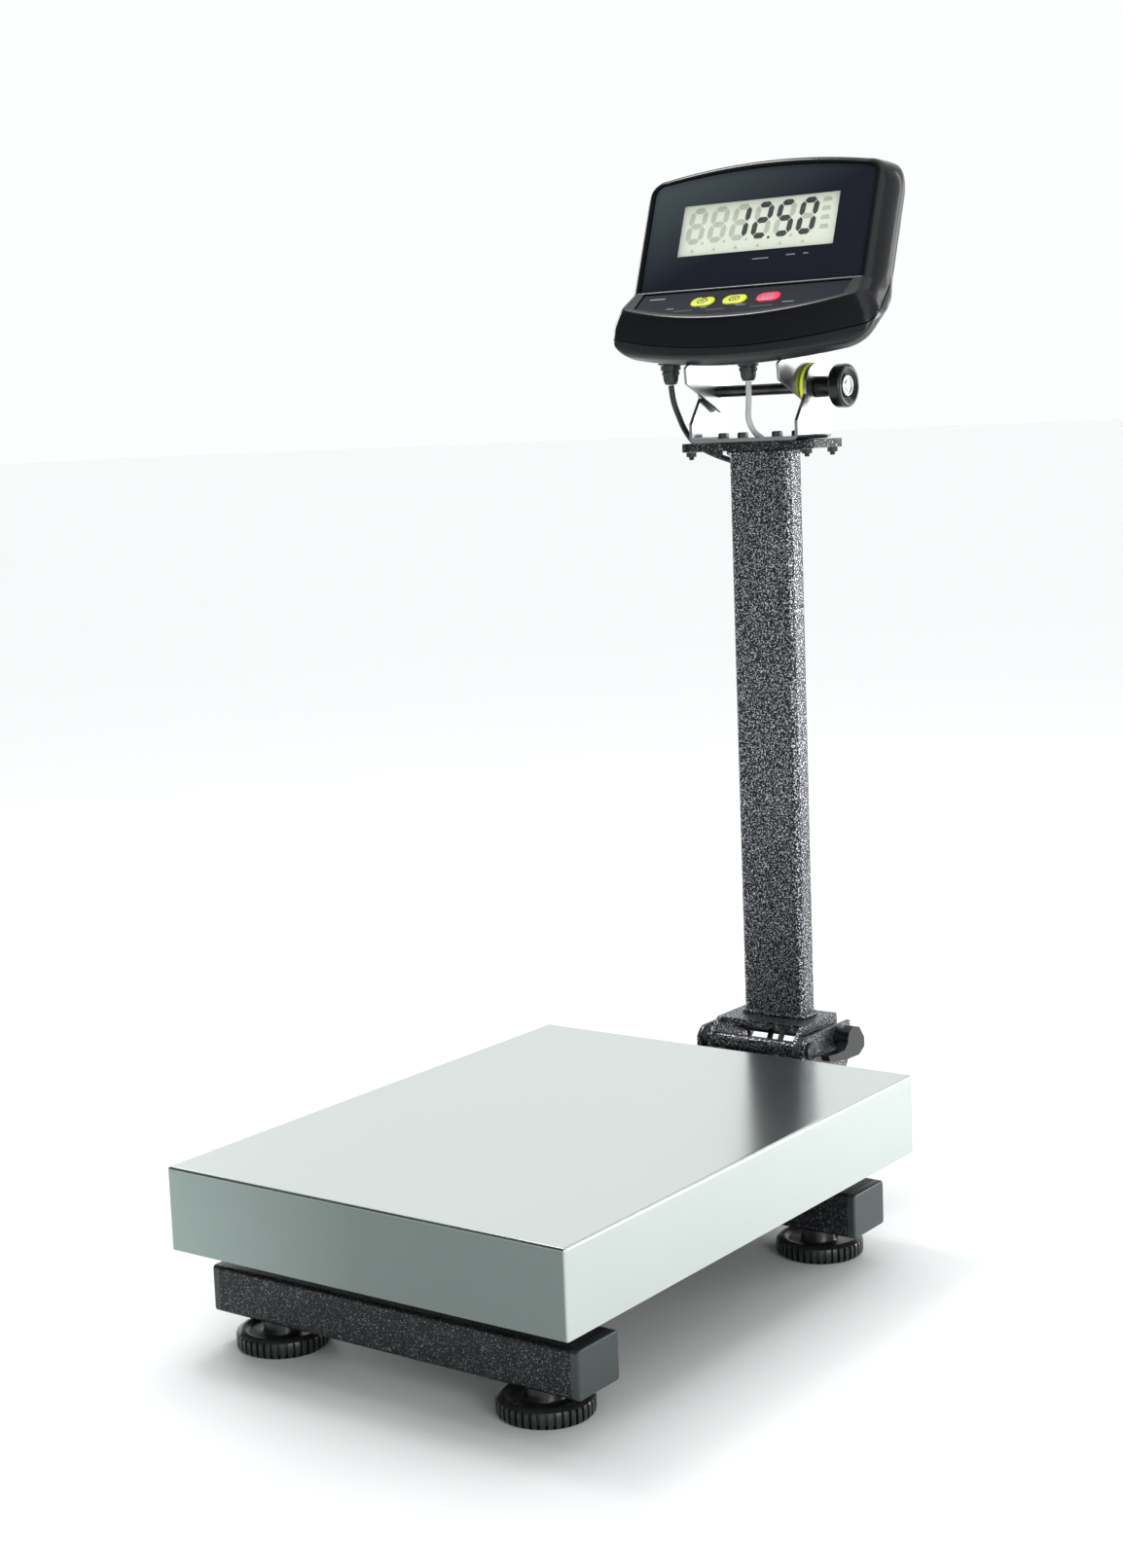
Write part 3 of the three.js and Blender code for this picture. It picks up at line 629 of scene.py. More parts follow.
def hexBolt(name, centre, axis, across, height, shank=0, shankLength=0, washer=0):
    # head on the positive side of the centre, shank on the other
    head = rod(name, across / 2 * mm / math.cos(math.pi / 6), centre, centre + axis * height * mm, 6)
    crown = turned("crown", [(0, -1), (across * 0.62, -1), (across * 0.62, height * 0.72),
                             (across * 0.47, height), (0, height)], centre, axis, 24)
    carve(head, crown, operation="INTERSECT")
    parts = [head]
    if shank:
        threads = int(shankLength)
        rings = [(shank * (1 if i % 2 else 0.86), -shankLength * i / (2 * threads))
                 for i in range(2 * threads + 1)]
        parts.append(turned("shank", [(0, 0.2), (shank, 0.2), *rings, (0, -shankLength)], centre, axis, 20))
    if washer:
        parts.append(turned("washer", [(0, -0.9), (washer, -0.9), (washer, 0), (0, 0)], centre, axis, 28))
    return together(name, parts)


# Weighing tray

trayShape = {"sheet": 1.5, "topBend": 1.8, "cornerBend": 1.6, "border": 4}


def makeTray():
    low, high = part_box("platform_tray")
    tray = block("weighingTray", low, high)
    with editing(tray):
        chooseFaces(tray, lambda spot, normal: normal.z < -0.5)
        bpy.ops.mesh.delete(type="FACE")
    with editing(tray, "EDGE"):
        chooseEdges(tray, lambda a, b: abs(a.z - b.z) > 0.01)
        roundEdges(trayShape["cornerBend"])
        chooseEdges(tray, lambda a, b: min(a.z, b.z) > high.z - 1e-5)
        roundEdges(trayShape["topBend"])
    border = Vector((1, 1, 1)) * trayShape["border"] * mm
    with editing(tray, "EDGE"):
        # flat borders keep the shading of the wide faces even
        for corner in (low + border, high - border):
            for normal in (xAxis, yAxis, zAxis):
                selectAll()
                bpy.ops.mesh.bisect(plane_co=corner, plane_no=normal)
    modify(tray, "SOLIDIFY", thickness=trayShape["sheet"] * mm, offset=-1)
    deliver(tray, "platform", "stainless", ["platform_tray"])


makeTray()
print("tray")


# Base frame

barShape = {"wall": 2, "corner": 2.6, "studHole": 5.3}
plugShape = {"edge": 1.4, "wall": 2.2, "insertDepth": 12, "skin": 1.8}
footShape = {"flutes": 39, "grooveDepth": 2.6, "grooveShare": 0.4, "grooveLow": 0.6, "grooveHigh": 10.2,
             "rim": 29, "rimInner": 27, "stud": 5, "studTop": 40}
bumperShape = {"foot": 9.6, "bulge": 10, "waist": 9.3, "top": 8.2, "dimple": 2.2, "dimpleDepth": 1.5}


def roundedTube(name, low, high, along, wall, corner, segments=5):
    # a rounded hollow section, open at both ends
    tube = block(name, low, high)
    axis = "xyz".index(along)
    with editing(tube):
        chooseFaces(tube, lambda spot, normal: abs(normal[axis]) > 0.5)
        bpy.ops.mesh.delete(type="FACE")
    with editing(tube, "EDGE"):
        chooseEdges(tube, lambda a, b: abs(a[axis] - b[axis]) > 0.005)
        roundEdges(corner, segments)
    return modify(tube, "SOLIDIFY", thickness=wall * mm, offset=-1)


def makeCrossbars():
    for row in ("front", "rear"):
        low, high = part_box(f"{row}_crossbar")
        bar = roundedTube(f"{row}Crossbar", low, high, "x", barShape["wall"], barShape["corner"])
        for side in ("left", "right"):
            x, y, _ = middle(f"foot_{row}_{side}")
            start, end = (x, y, low.z - 0.004), (x, y, low.z + 0.006)
            carve(bar, rod("hole", barShape["studHole"] * mm, start, end, 24))
        deliver(bar, "base", "hammered_paint", [f"{row}_crossbar"], barPaint)
    low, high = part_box("base_spine")
    spine = roundedTube("baseSpine", low, high, "y", barShape["wall"], barShape["corner"])
    deliver(spine, "base", "hammered_paint", ["base_spine"])


def makePlug(row, side):
    low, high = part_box(f"crossbar_plug_{row}_{side}")
    outward = 1 if side == "right" else -1
    depth = plugShape["insertDepth"]
    outer = high.x if outward > 0 else low.x
    inner = outer - outward * (high.x - low.x - depth * mm)
    cap = block(f"crossbarPlug.{row}.{side}", (min(outer, inner), low.y, low.z),
                (max(outer, inner), high.y, high.z))
    with editing(cap):
        chooseFaces(cap, lambda spot, normal: normal.x * outward < -0.5)
        bpy.ops.mesh.inset(thickness=plugShape["wall"] * mm + 0.0003)
        push((-outward * depth * mm, 0, 0))
        bpy.ops.mesh.inset(thickness=plugShape["skin"] * mm)
        push((outward * (depth - 1) * mm, 0, 0))
    with editing(cap, "EDGE"):
        chooseEdges(cap, lambda a, b: min(a.x * outward, b.x * outward) > inner * outward - 1e-6
                    and abs(a.x - b.x) > 0.002)
        roundEdges(barShape["corner"])
        chooseEdges(cap, lambda a, b: min(a.x * outward, b.x * outward) > outer * outward - 1e-6)
        roundEdges(plugShape["edge"], 4)
    deliver(cap, "base", "plug_plastic", [f"crossbar_plug_{row}_{side}"])


def standing(node):
    # the point under a frame piece's middle
    spot = middle(node)
    return Vector((spot.x, spot.y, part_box(node)[0].z))


def makeFoot(row, side):
    foot = footShape
    centre = standing(f"foot_{row}_{side}")
    rim, stud, top = foot["rim"], foot["stud"], foot["studTop"]
    profile = [(0, 0), (27.2, 0), (28.6, 1.2), (rim, 2.4), (rim, 8.6), (28.4, 10), (26.6, 11.2),
               (24.4, 11.8), (22.4, 11.2), (20.5, 9.4), (14.5, 8.8), (12.4, 9.6), (11.6, 11),
               (11.2, 19.6), (stud, 19.6), *studThread(stud, 19.8, top), (0, top)]
    piece = turned(f"levellingFoot.{row}.{side}", profile, centre, zAxis, foot["flutes"] * 5)
    step = 2 * math.pi / foot["flutes"]

    def inGroove(spot, normal):
        angle = math.atan2(spot.y - centre.y, spot.x - centre.x) % step
        height = (spot.z - centre.z) / mm
        radius = math.hypot(spot.x - centre.x, spot.y - centre.y) / mm
        between = foot["grooveLow"] < height < foot["grooveHigh"]
        return angle < step * foot["grooveShare"] and between and radius > foot["rimInner"]

    with editing(piece):
        recess(piece, inGroove, 1 - foot["grooveDepth"] / rim, centre)
    deliver(piece, f"foot_{row}_{side}", "foot_rubber", [f"foot_{row}_{side}"], crisp=False, angle=32)


def studThread(radius, start, end, pitch=1.5):
    turns = int((end - start) / pitch)
    edge = [(radius, start)]
    for i in range(turns):
        edge.append((radius * 0.87, start + pitch * (i + 0.5)))
        edge.append((radius, start + pitch * (i + 1)))
    return edge


makeCrossbars()
for row, side in fourCorners:
    makePlug(row, side)
    makeFoot(row, side)
print("base frame")


# Load cell and what carries the tray

cellShape = {"relief": 1.9, "edge": 0.7, "patch": (1.2, 20, 8), "boltReach": 45, "boltPitch": 8,
             "boltAcross": 8, "boltTall": 4, "washer": 5.5, "lift": 0.3}


def makeLoadCell():
    cell = fromNode("loadCell", "load_cell")
    low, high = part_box("load_cell")
    centre = middle("load_cell")
    # a little less height, which leaves room for the platform to sink under load
    share = 1 - cellShape["relief"] * mm / (high.z - low.z)
    shorter = Matrix.Diagonal((1, 1, share, 1))
    cell.data.transform(Matrix.Translation(centre) @ shorter @ Matrix.Translation(-centre))
    soften(cell, cellShape["edge"], 2, 50)
    deliver(cell, "base", "cell_aluminium", ["load_cell"], angle=30)
    proud, along, tall = (size * mm for size in cellShape["patch"])
    patch = block("cellSealant", (low.x - proud, centre.y - along, centre.z - tall),
                  (high.x + proud, centre.y + along, centre.z + tall))
    soften(patch, 1, 3)
    deliver(patch, "base", "black_lead")
    bolts = []
    pitch = cellShape["boltPitch"]
    for end, face in ((1, high.z), (-1, low.z)):
        for x in (-pitch, pitch):
            for y in (-pitch, pitch):
                spot = Vector((centre.x + x * mm, centre.y + (end * cellShape["boltReach"] + y) * mm, face))
                axis = zAxis * end
                bolts.append(hexBolt("cellBolt", spot + axis * cellShape["lift"] * mm, axis,
                                     cellShape["boltAcross"], cellShape["boltTall"],
                                     washer=cellShape["washer"]))
    deliver(together("cellBolts", bolts), "base", "zinc_steel")


def makeSubframe():
    piece = soften(fromNode("platformSubframe", "platform_subframe"), 1.2, 3)
    deliver(piece, "platform", "hammered_paint", ["platform_subframe"])
    shape = bumperShape
    for row, side in fourCorners:
        node = f"tray_bumper_{row}_{side}"
        low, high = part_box(node)
        tall = (high.z - low.z) / mm
        profile = [(0, 0), (shape["foot"], 0), (shape["bulge"], 0.5), (shape["waist"], tall * 0.45),
                   (shape["foot"], tall - 1.2), (shape["top"], tall), (3, tall),
                   (shape["dimple"], tall - shape["dimpleDepth"]), (0, tall - shape["dimpleDepth"])]
        bumper = turned(f"trayBumper.{row}.{side}", profile, standing(node), zAxis, 36)
        deliver(bumper, "platform", "foot_rubber", [node], crisp=False)


# Column hinge

def roundedNode(name, node, body, slot, width, segments=2, finish=None):
    piece = soften(fromNode(name, node), width, segments)
    return deliver(piece, body, slot, [node], finish)


hingeAt = middle("hinge_washer_right")
hingeAt.x = 0
hingeShape = {"pinHead": 6.5, "headStart": 44.4, "shank": 4, "bore": 4.3, "rim": 9.5, "land": 9.2,
              "groove": 8.5}


def mirrored(profile):
    # the same outline again on the other side of the centre
    return profile + [(radius, -height) for radius, height in reversed(profile)]


def makeHinge():
    shape = hingeShape
    roundedNode("columnBracket", "column_bracket", "base", "hammered_paint", 0.8)
    roundedNode("columnFoot", "column_foot", "column", "hammered_paint", 0.7)
    for side in ("left", "right"):
        low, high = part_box(f"hinge_washer_{side}")
        wide = (high.x - low.x) / mm
        profile = [(shape["bore"], 0)]
        for i in range(3):
            start = wide * i / 3
            profile += [(shape["land"], start + 0.12), (shape["rim"], start + wide / 6),
                        (shape["land"], start + wide / 3 - 0.12), (shape["groove"], start + wide / 3)]
        profile += [(shape["bore"], wide)]
        centre = Vector((low.x, hingeAt.y, hingeAt.z))
        washer = turned(f"hingeWasher.{side}", profile, centre, xAxis, 48)
        deliver(washer, "base", "black_steel", [f"hinge_washer_{side}"], crisp=False)
    low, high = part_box("hinge_pin")
    half = (high.x - low.x) / 2 / mm
    head = shape["pinHead"]
    end = [(0, half - 0.6), (2.2, half - 0.6), (2.6, half), (head - 0.8, half), (head, half - 0.8),
           (head, shape["headStart"]), (shape["shank"], shape["headStart"])]
    pin = turned("hingePin", mirrored(end), hingeAt, xAxis, 40)
    deliver(pin, "base", "zinc_steel", ["hinge_pin"], paints["black_steel"], crisp=False)


clampShape = {"spring": 5.6, "wire": 1.0, "turns": 9, "start": 12, "end": 31, "y": 490, "z": 110.5,
              "bolt": 4, "across": 12.5, "headTall": 4.4, "headAt": -44.4, "facets": 16}


def wire(name, points, radius, sides=5, steps=6):
    # a round wire or lead along a smooth route of points
    curve = bpy.data.curves.new(name, "CURVE")
    curve.dimensions = "3D"
    curve.bevel_depth = radius * mm
    curve.bevel_resolution = sides
    curve.use_fill_caps = True
    line = curve.splines.new("POLY")
    last = len(points) - 1
    fine = []
    for i in range(last):
        a, b, c, d = (points[min(max(i + k, 0), last)] for k in (-1, 0, 1, 2))
        square, cube = 2 * a - 5 * b + 4 * c - d, 3 * b - a - 3 * c + d
        for j in range(steps):
            t = j / steps
            fine.append(0.5 * (2 * b + (c - a) * t + square * t * t + cube * t ** 3))
    fine.append(points[-1])
    line.points.add(len(fine) - 1)
    for knot, point in zip(line.points, fine):
        knot.co = (*point, 1)
    activate(linked(name, curve))
    bpy.ops.object.convert(target="MESH")
    return bpy.context.active_object


def makeClamp():
    clamp = clampShape
    roundedNode("clampLever", "clamp_lever", "clamp_lever", "black_plastic", 2.2, 4)
    roundedNode("powerSocket", "power_socket", "base", "black_plastic", 0.6)
    low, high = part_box("clamp_bolt")
    start, end, radius = low.x / mm, high.x / mm, clamp["bolt"]
    thread = studThread(radius, 36, end - 0.4, 1.25)
    shank = turned("clampBoltShank", [(0, start + 2), (radius, start + 2), *thread, (3.2, end), (0, end)],
                   at(0, clamp["y"], clamp["z"]), xAxis, 32)
    head = hexBolt("clampBoltHead", at(clamp["headAt"], clamp["y"], clamp["z"]), -xAxis, clamp["across"],
                   clamp["headTall"])
    deliver(together("clampBolt", [shank, head]), "base", "zinc_steel", ["clamp_bolt"])
    count = clamp["turns"] * clamp["facets"]
    points = []
    for i in range(count + 1):
        angle = 2 * math.pi * i / clamp["facets"]
        x = clamp["start"] + (clamp["end"] - clamp["start"]) * i / count
        points.append(at(x, clamp["y"] + clamp["spring"] * math.cos(angle),
                         clamp["z"] + clamp["spring"] * math.sin(angle)))
    spring = wire("clampSpring", points, clamp["wire"], 3, 1)
    deliver(spring, "base", "black_steel", ["clamp_spring"], crisp=False, angle=60)


# Column, top plate and yoke

columnShape = {"corner": 5, "wall": 1.5, "bead": 2.3, "beadStep": 2.4, "beadLift": 1.2, "holeLow": 505,
               "holeHigh": 517, "holeRound": 3.5}
cornerBolts = {"x": 47, "ys": (459.5, 495), "across": 7, "height": 3.2, "stud": 1.9, "studLong": 5.4}
yokeShape = {"sheet": 2.5, "bend": 4, "edge": 0.35, "front": 453, "rear": 500, "head": 16.6, "top": 592.3}


def weldBead(name, z):
    # ripples of molten metal that follow the foot or the head of the tube
    low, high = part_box("column_tube")
    centre = middle("column_tube")
    half = (high - low) / 2 / mm
    outline = roundedBox(half.x, -half.y, half.y, columnShape["corner"], 12)
    walked, ripples, last = 0.0, [], Vector(outline[-1])
    for corner in map(Vector, outline):
        side = corner - last
        while walked < side.length:
            here = last + side.normalized() * walked
            size = columnShape["bead"] * mm * (1 + 0.16 * math.sin(5.1 * here.x + 3.3 * here.y))
            spot = (centre.x + here.x * mm, centre.y + here.y * mm, z * mm)
            bpy.ops.mesh.primitive_ico_sphere_add(subdivisions=2, radius=size, location=spot,
                                                  scale=(1, 1, 0.8))
            ripples.append(settle("ripple"))
            walked += columnShape["beadStep"]
        walked -= side.length
        last = corner
    deliver(together(name, ripples), "column", "hammered_paint", crisp=False, angle=60)


def makeColumn():
    low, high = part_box("column_tube")
    tube = roundedTube("columnTube", low, high, "z", columnShape["wall"], columnShape["corner"], 7)
    hole = block("hole", at(-9, 484, columnShape["holeLow"]), at(-1, 496, columnShape["holeHigh"]))
    with editing(hole, "EDGE"):
        chooseEdges(hole, lambda a, b: abs(a.y - b.y) > 0.002)
        roundEdges(columnShape["holeRound"])
    carve(tube, hole)
    deliver(tube, "column", "hammered_paint", ["column_tube"])
    weldBead("columnWeldBottom", low.z / mm + columnShape["beadLift"])
    weldBead("columnWeldTop", high.z / mm - columnShape["beadLift"])
    profile = [(3.0, -1.4), (5.2, -1.4), (5.6, -0.7), (4.3, -0.2), (4.3, 1.7), (3.0, 1.7)]
    grommet = turned("leadGrommet", profile, at(-5, 492.2, 511), -yAxis, 28)
    deliver(grommet, "column", "black_lead", crisp=False)


def makeTopPlate():
    top = fromNode("columnTopPlate", "column_top_plate")
    with editing(top, "EDGE"):
        low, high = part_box("column_top_plate")
        chooseEdges(top, lambda a, b: abs(a.z - b.z) > 0.004 and abs(a.x) > high.x - 1e-5)
        roundEdges(3)
    soften(top, 0.6, 2, 50)
    deliver(top, "column", "hammered_paint", ["column_top_plate"], platePaint)
    nuts = []
    bolt = cornerBolts
    radius, end = bolt["stud"], bolt["studLong"]
    thread = [(0, 0), (radius, 0), *studThread(radius, 0.4, end, 0.8), (0, end)]
    for x in (-bolt["x"], bolt["x"]):
        for y in bolt["ys"]:
            spot = at(x, y, low.z / mm - 0.2)
            nuts.append(hexBolt("cornerNut", spot, -zAxis, bolt["across"], bolt["height"]))
            nuts.append(turned("cornerStud", thread, spot, -zAxis, 20))
    deliver(together("cornerBolts", nuts), "column", "black_steel")


pivotShape = {"y": 482, "z": 575.7, "rod": 4, "rightWasher": 16.9, "leftWasher": 7.4, "washerBore": 4.3,
              "nut": -44.3}
yokeScrew = {"across": 6.6, "head": 3.5, "shank": 2.5, "long": 6.5, "washer": 4.2}


def makeYoke():
    low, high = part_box("tilt_yoke")
    shape = yokeShape
    floor, half = low.z / mm, high.x / mm
    front, rear, bend, wall = shape["front"], shape["rear"], shape["bend"], shape["sheet"]
    # the strip's folded section, seen from the front
    outer = [(half, shape["top"]), *arc(half - bend, floor + bend, bend, 0, -90, 6)]
    inner = [*arc(half - bend, floor + bend, bend - wall, -90, 0, 6), (half - wall, shape["top"])]
    section = outer + [(-x, z) for x, z in reversed(outer)]
    section += [(-x, z) for x, z in reversed(inner)] + inner
    yoke = plate("tiltYoke", [at(x, front, z) for x, z in section], (0, (rear - front) * mm, 0))
    pivotY, pivotZ = pivotShape["y"], pivotShape["z"]
    head = arc(pivotY, pivotZ, shape["head"], 0, 195, 28)
    ear = [(front, floor - 1), (rear, floor - 1), (rear, 560), *head, (front, 553.5)]
    carve(yoke, plate("earShape", [at(-60, *spot) for spot in ear], (0.12, 0, 0)), operation="INTERSECT")
    bore = rod("bore", pivotShape["washerBore"] * mm, at(-60, pivotY, pivotZ), at(60, pivotY, pivotZ), 32)
    carve(yoke, bore, block("leadHole", at(-7, 464, floor - 2), at(7, 487, floor + 4)))
    soften(yoke, shape["edge"], 2, 50)
    deliver(yoke, "column", "stainless", ["tilt_yoke"], yokeSteel, angle=30)
    for i in range(1, 5):
        spot = middle(f"yoke_screw_{i}")
        base = Vector((spot.x, spot.y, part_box(f"yoke_screw_{i}")[1].z - yokeScrew["head"] * mm))
        screw = hexBolt(f"yokeScrew.{i}", base, zAxis, *yokeScrew.values())
        deliver(screw, "column", "black_steel", [f"yoke_screw_{i}"])


knobShape = {"hub": 7.4, "disc": 15, "start": 44.5, "neck": 58, "end": 69, "insert": 7.4}


def makePivot():
    centre = at(0, pivotShape["y"], pivotShape["z"])
    low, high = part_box("tilt_rod")
    start, end = low.x / mm, high.x / mm
    radius = pivotShape["rod"]
    profile = [(0, -46), (radius, -46), *studThread(radius, -45.6, -38, 1.25), (radius, -36), (radius, 36),
               *studThread(radius, 40, end - 0.4, 1.25), (0, end)]
    shaft = turned("tiltRodShaft", profile, centre, xAxis, 32)
    nutAt = pivotShape["nut"]
    nut = hexBolt("tiltRodNut", at(nutAt, pivotShape["y"], pivotShape["z"]), -xAxis, 12.5, nutAt - start)
    deliver(together("tiltRod", [shaft, nut]), "column", "black_steel", ["tilt_rod"])
    for side in ("left", "right"):
        low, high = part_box(f"friction_washer_{side}")
        wide = (high.x - low.x) / mm
        bore, rim = pivotShape["washerBore"], pivotShape[side + "Washer"]
        profile = [(bore, 0), (rim - 0.4, 0), (rim, 0.4), (rim, wide - 0.4), (rim - 0.4, wide), (bore, wide)]
        washer = turned(f"frictionWasher.{side}", profile, Vector((low.x, centre.y, centre.z)), xAxis, 64)
        carve(washer, block("flat", (-0.1, centre.y - 0.03, low.z - 0.02), (0.1, centre.y + 0.03, low.z)))
        deliver(washer, "column", "yellow_plastic", [f"friction_washer_{side}"], crisp=False)
    hub, disc, start, neck, end, insert = knobShape.values()
    profile = [(0, neck), (4.3, neck), (4.3, start), (hub - 0.6, start), (hub, start + 0.6),
               (hub - 0.5, neck - 2.5), (hub + 1.8, neck + 0.2), (disc - 2.2, neck + 0.8),
               *arc(disc - 2.4, neck + 3.2, 2.4, -80, 0, 7), *arc(disc - 2.4, end - 2.6, 2.4, 0, 110, 7),
               (insert + 2.4, end - 1.6), (insert + 0.5, end - 2.6), (insert, end - 4.5), (0, end - 4.5)]
    knob = turned("tiltKnob", profile, centre, xAxis, 72)
    deliver(knob, "tilt_knob", "black_plastic", ["tilt_knob"], crisp=False)
    profile = [(insert - 0.1, 4.4), (insert - 0.1, 1.6), (insert - 0.7, 1.1), (insert - 1.5, 1.1),
               (insert - 2, 2), (insert - 3.4, 2), (insert - 4, 1.2)]
    rings = [(radius, end - depth) for radius, depth in profile]
    metal = turned("tiltKnobInsert", [(0, end - 4.4), *rings, (0, end - 0.9)], centre, xAxis, 48)
    deliver(metal, "tilt_knob", "zinc_steel", crisp=False)


# Indicator housing

headShape = {"half": 98, "sideRound": 4.5, "topCorner": 15, "bottomCorner": 16, "endCorner": 6, "arch": 7,
             "bow": 0.0016, "lean": 19.6, "slope": 36, "bezelHalf": 95.3, "seamHalf": 99.6, "rearHalf": 91.5,
             "rearDepth": 40, "flare": 6.5, "flareTall": 22, "seamDepth": 18.5, "wall": 3, "seamGap": 0.7,
             "seamFoot": (432.8, 606), "seamBend": (482.9, 642.4)}
# side view corners as (y, z, rounding): crease, lip, front and back of the chin, heel, crown and brow
headCorners = [(463.2, 647.7, 2.2), (433.4, 625.6, 4.5), (432.6, 598.5, 4), (441.5, 591.6, 6),
               (501.2, 635.9, 12), (532.6, 729.8, 9), (494.2, 734.5, 4.5)]
creasePoint = (464.4, 647.2)


def spread(angle):
    return math.sin(math.radians(angle)), math.cos(math.radians(angle))


def facePoint(x, up, out=0.0):
    # a point on the display face: up from the crease and out of the face
    s, c = spread(headShape["lean"])
    return at(x, creasePoint[0] + up * s - out * c, creasePoint[1] + up * c + out * s)


def shelfPoint(x, up, out=0.0):
    # a point on the key shelf: up is negative towards the lip
    s, c = spread(headShape["slope"])
    return at(x, creasePoint[0] + up * c - out * s, creasePoint[1] + up * s + out * c)


def roundOff(a, half, radius):
    over = min(max(a - (half - radius), 0), radius)
    return radius - math.sqrt(radius * radius - over * over)


def fillet(corners, steps=6):
    outline = []
    for i, (corner, radius) in enumerate(corners):
        u, v = corners[i - 1][0] - corner, corners[(i + 1) % len(corners)][0] - corner
        reach = 0.47 * min(u.length, v.length)
        u.normalize()
        v.normalize()
        half = math.acos(max(-1, min(1, u.dot(v)))) / 2
        run = min(radius / math.tan(half), reach)
        radius = run * math.tan(half)
        centre = corner + (u + v).normalized() * radius / math.sin(half)
        first, last = corner + u * run - centre, corner + v * run - centre
        sweep = math.acos(max(-1, min(1, first.dot(last) / (radius * radius))))
        for j in range(steps + 1):
            angle = sweep * j / steps
            blend = first * math.sin(sweep - angle) + last * math.sin(angle)
            outline.append(centre + blend / math.sin(sweep))
    return outline


def headSection(x, inset):
    # the head's outline in a plane at x: lower and shallower towards its ends
    shape = headShape
    a, half = abs(x), shape["half"]
    drop = shape["arch"] * min(a / (half - shape["topCorner"]), 1) ** 2
    drop += roundOff(a, half, shape["topCorner"])
    rise = roundOff(a, half, shape["bottomCorner"])
    back = shape["bow"] * a * a + roundOff(a, half, shape["endCorner"])
    crease, lip, chin, sole, heel, crown, brow = [Vector(c[:2]) for c in headCorners]
    lip = lip + (crease - lip) * (back / (crease.x - lip.x))
    chin = chin + Vector((back, rise + back * 0.45))
    sole = sole + (heel - sole) * (back / (heel.x - sole.x)) + Vector((0, rise * 0.8))
    heel = heel + (crown - heel) * (rise * 0.8 / (crown.y - heel.y))
    crown = crown - (crown - heel).normalized() * drop
    brow = brow - (brow - crease).normalized() * drop
    corners = [crease, lip, chin, sole, heel, crown, brow]
    moved = []
    for i, corner in enumerate(corners):
        one = (corner - corners[i - 1]).normalized()
        two = (corners[(i + 1) % len(corners)] - corner).normalized()
        slide = inset / (1 + one.dot(two))
        moved.append(corner + Vector((-(one.y + two.y), one.x + two.x)) * slide)
    rounds = [c[2] + inset if i == 0 else max(c[2] - inset, 0.4) for i, c in enumerate(headCorners)]
    return fillet(list(zip(moved, rounds)))


def headStations(inset):
    # where the outlines lie, and how much each one is drawn in at the rounded sides
    half, edge = headShape["half"], headShape["sideRound"]
    span = half - headShape["topCorner"] - 3
    stations = [(span * i / 12, 0) for i in range(13)]
    for i in range(1, 8):
        share = math.sin(math.pi * i / 16) / math.sin(math.pi * 7 / 16)
        stations.append((span + (half - edge - span) * share, 0))
    for i in range(1, 7):
        angle = math.pi / 2 * i / 6
        stations.append((half - edge * (1 - math.sin(angle)), edge * (1 - math.cos(angle))))
    both = [(-x, more) for x, more in reversed(stations[1:])] + stations
    shrink = (half - inset) / half
    return [(x, x * shrink, inset + more) for x, more in both]


def headBlock(name, inset=0.0):
    stations = headStations(inset)
    sections = [[at(x, p.x, p.y) for p in headSection(station, total)] for station, x, total in stations]
    around, along = len(sections[0]), len(sections)
    selectNone()
    bpy.ops.mesh.primitive_grid_add(x_subdivisions=around, y_subdivisions=along - 1, size=2)
    piece = bpy.context.active_object
    piece.name = name
    for vertex in piece.data.vertices:
        i = round((vertex.co.x + 1) / 2 * around) % around
        j = round((vertex.co.y + 1) / 2 * (along - 1))
        vertex.co = sections[j][i]
    with editing(piece, "EDGE"):
        selectAll()
        bpy.ops.mesh.remove_doubles(threshold=1e-6)
        for side in (-1, 1):
            reach = abs(stations[0][1]) * mm
            chooseEdges(piece, lambda a, b: min(a.x * side, b.x * side) > reach - 1e-6)
            bpy.ops.mesh.edge_face_add()
        if inset == 0:
            bellySlices()
        selectAll()
        bpy.ops.mesh.normals_make_consistent(inside=False)
    if inset == 0:
        swellSides(piece)
    return piece


def depthOf(point):
    # how far a point lies behind the face or below the shelf
    return max((point - surface(0, 0)).dot((surface(0, 0) - surface(0, 0, 1)).normalized()) / mm
               for surface in (facePoint, shelfPoint))


def bellySlices():
    for depth in (4, 9, 14, 18.5, 25, 32):
        for point in (facePoint, shelfPoint):
            selectAll()
            outward = (point(0, 0, 1) - point(0, 0)).normalized()
            bpy.ops.mesh.bisect(plane_co=point(0, 0, -depth), plane_no=outward)


def swellSides(piece):
    # widest at the seam, with a flare at the chin
    shape = headShape
    bezel, widest, seam = shape["bezelHalf"], shape["seamHalf"], shape["seamDepth"]
    narrowing = widest - shape["rearHalf"]
    for vertex in piece.data.vertices:
        depth = depthOf(vertex.co)
        if depth < seam:
            half = bezel + (widest - bezel) * math.sin(max(depth, 0) / seam * math.pi / 2)
        else:
            half = widest - narrowing * min((depth - seam) / (shape["rearDepth"] - seam), 1)
        half += shape["flare"] * min(max((creasePoint[1] - vertex.co.z / mm) / shape["flareTall"], 0), 1)
        vertex.co.x *= half / shape["half"]


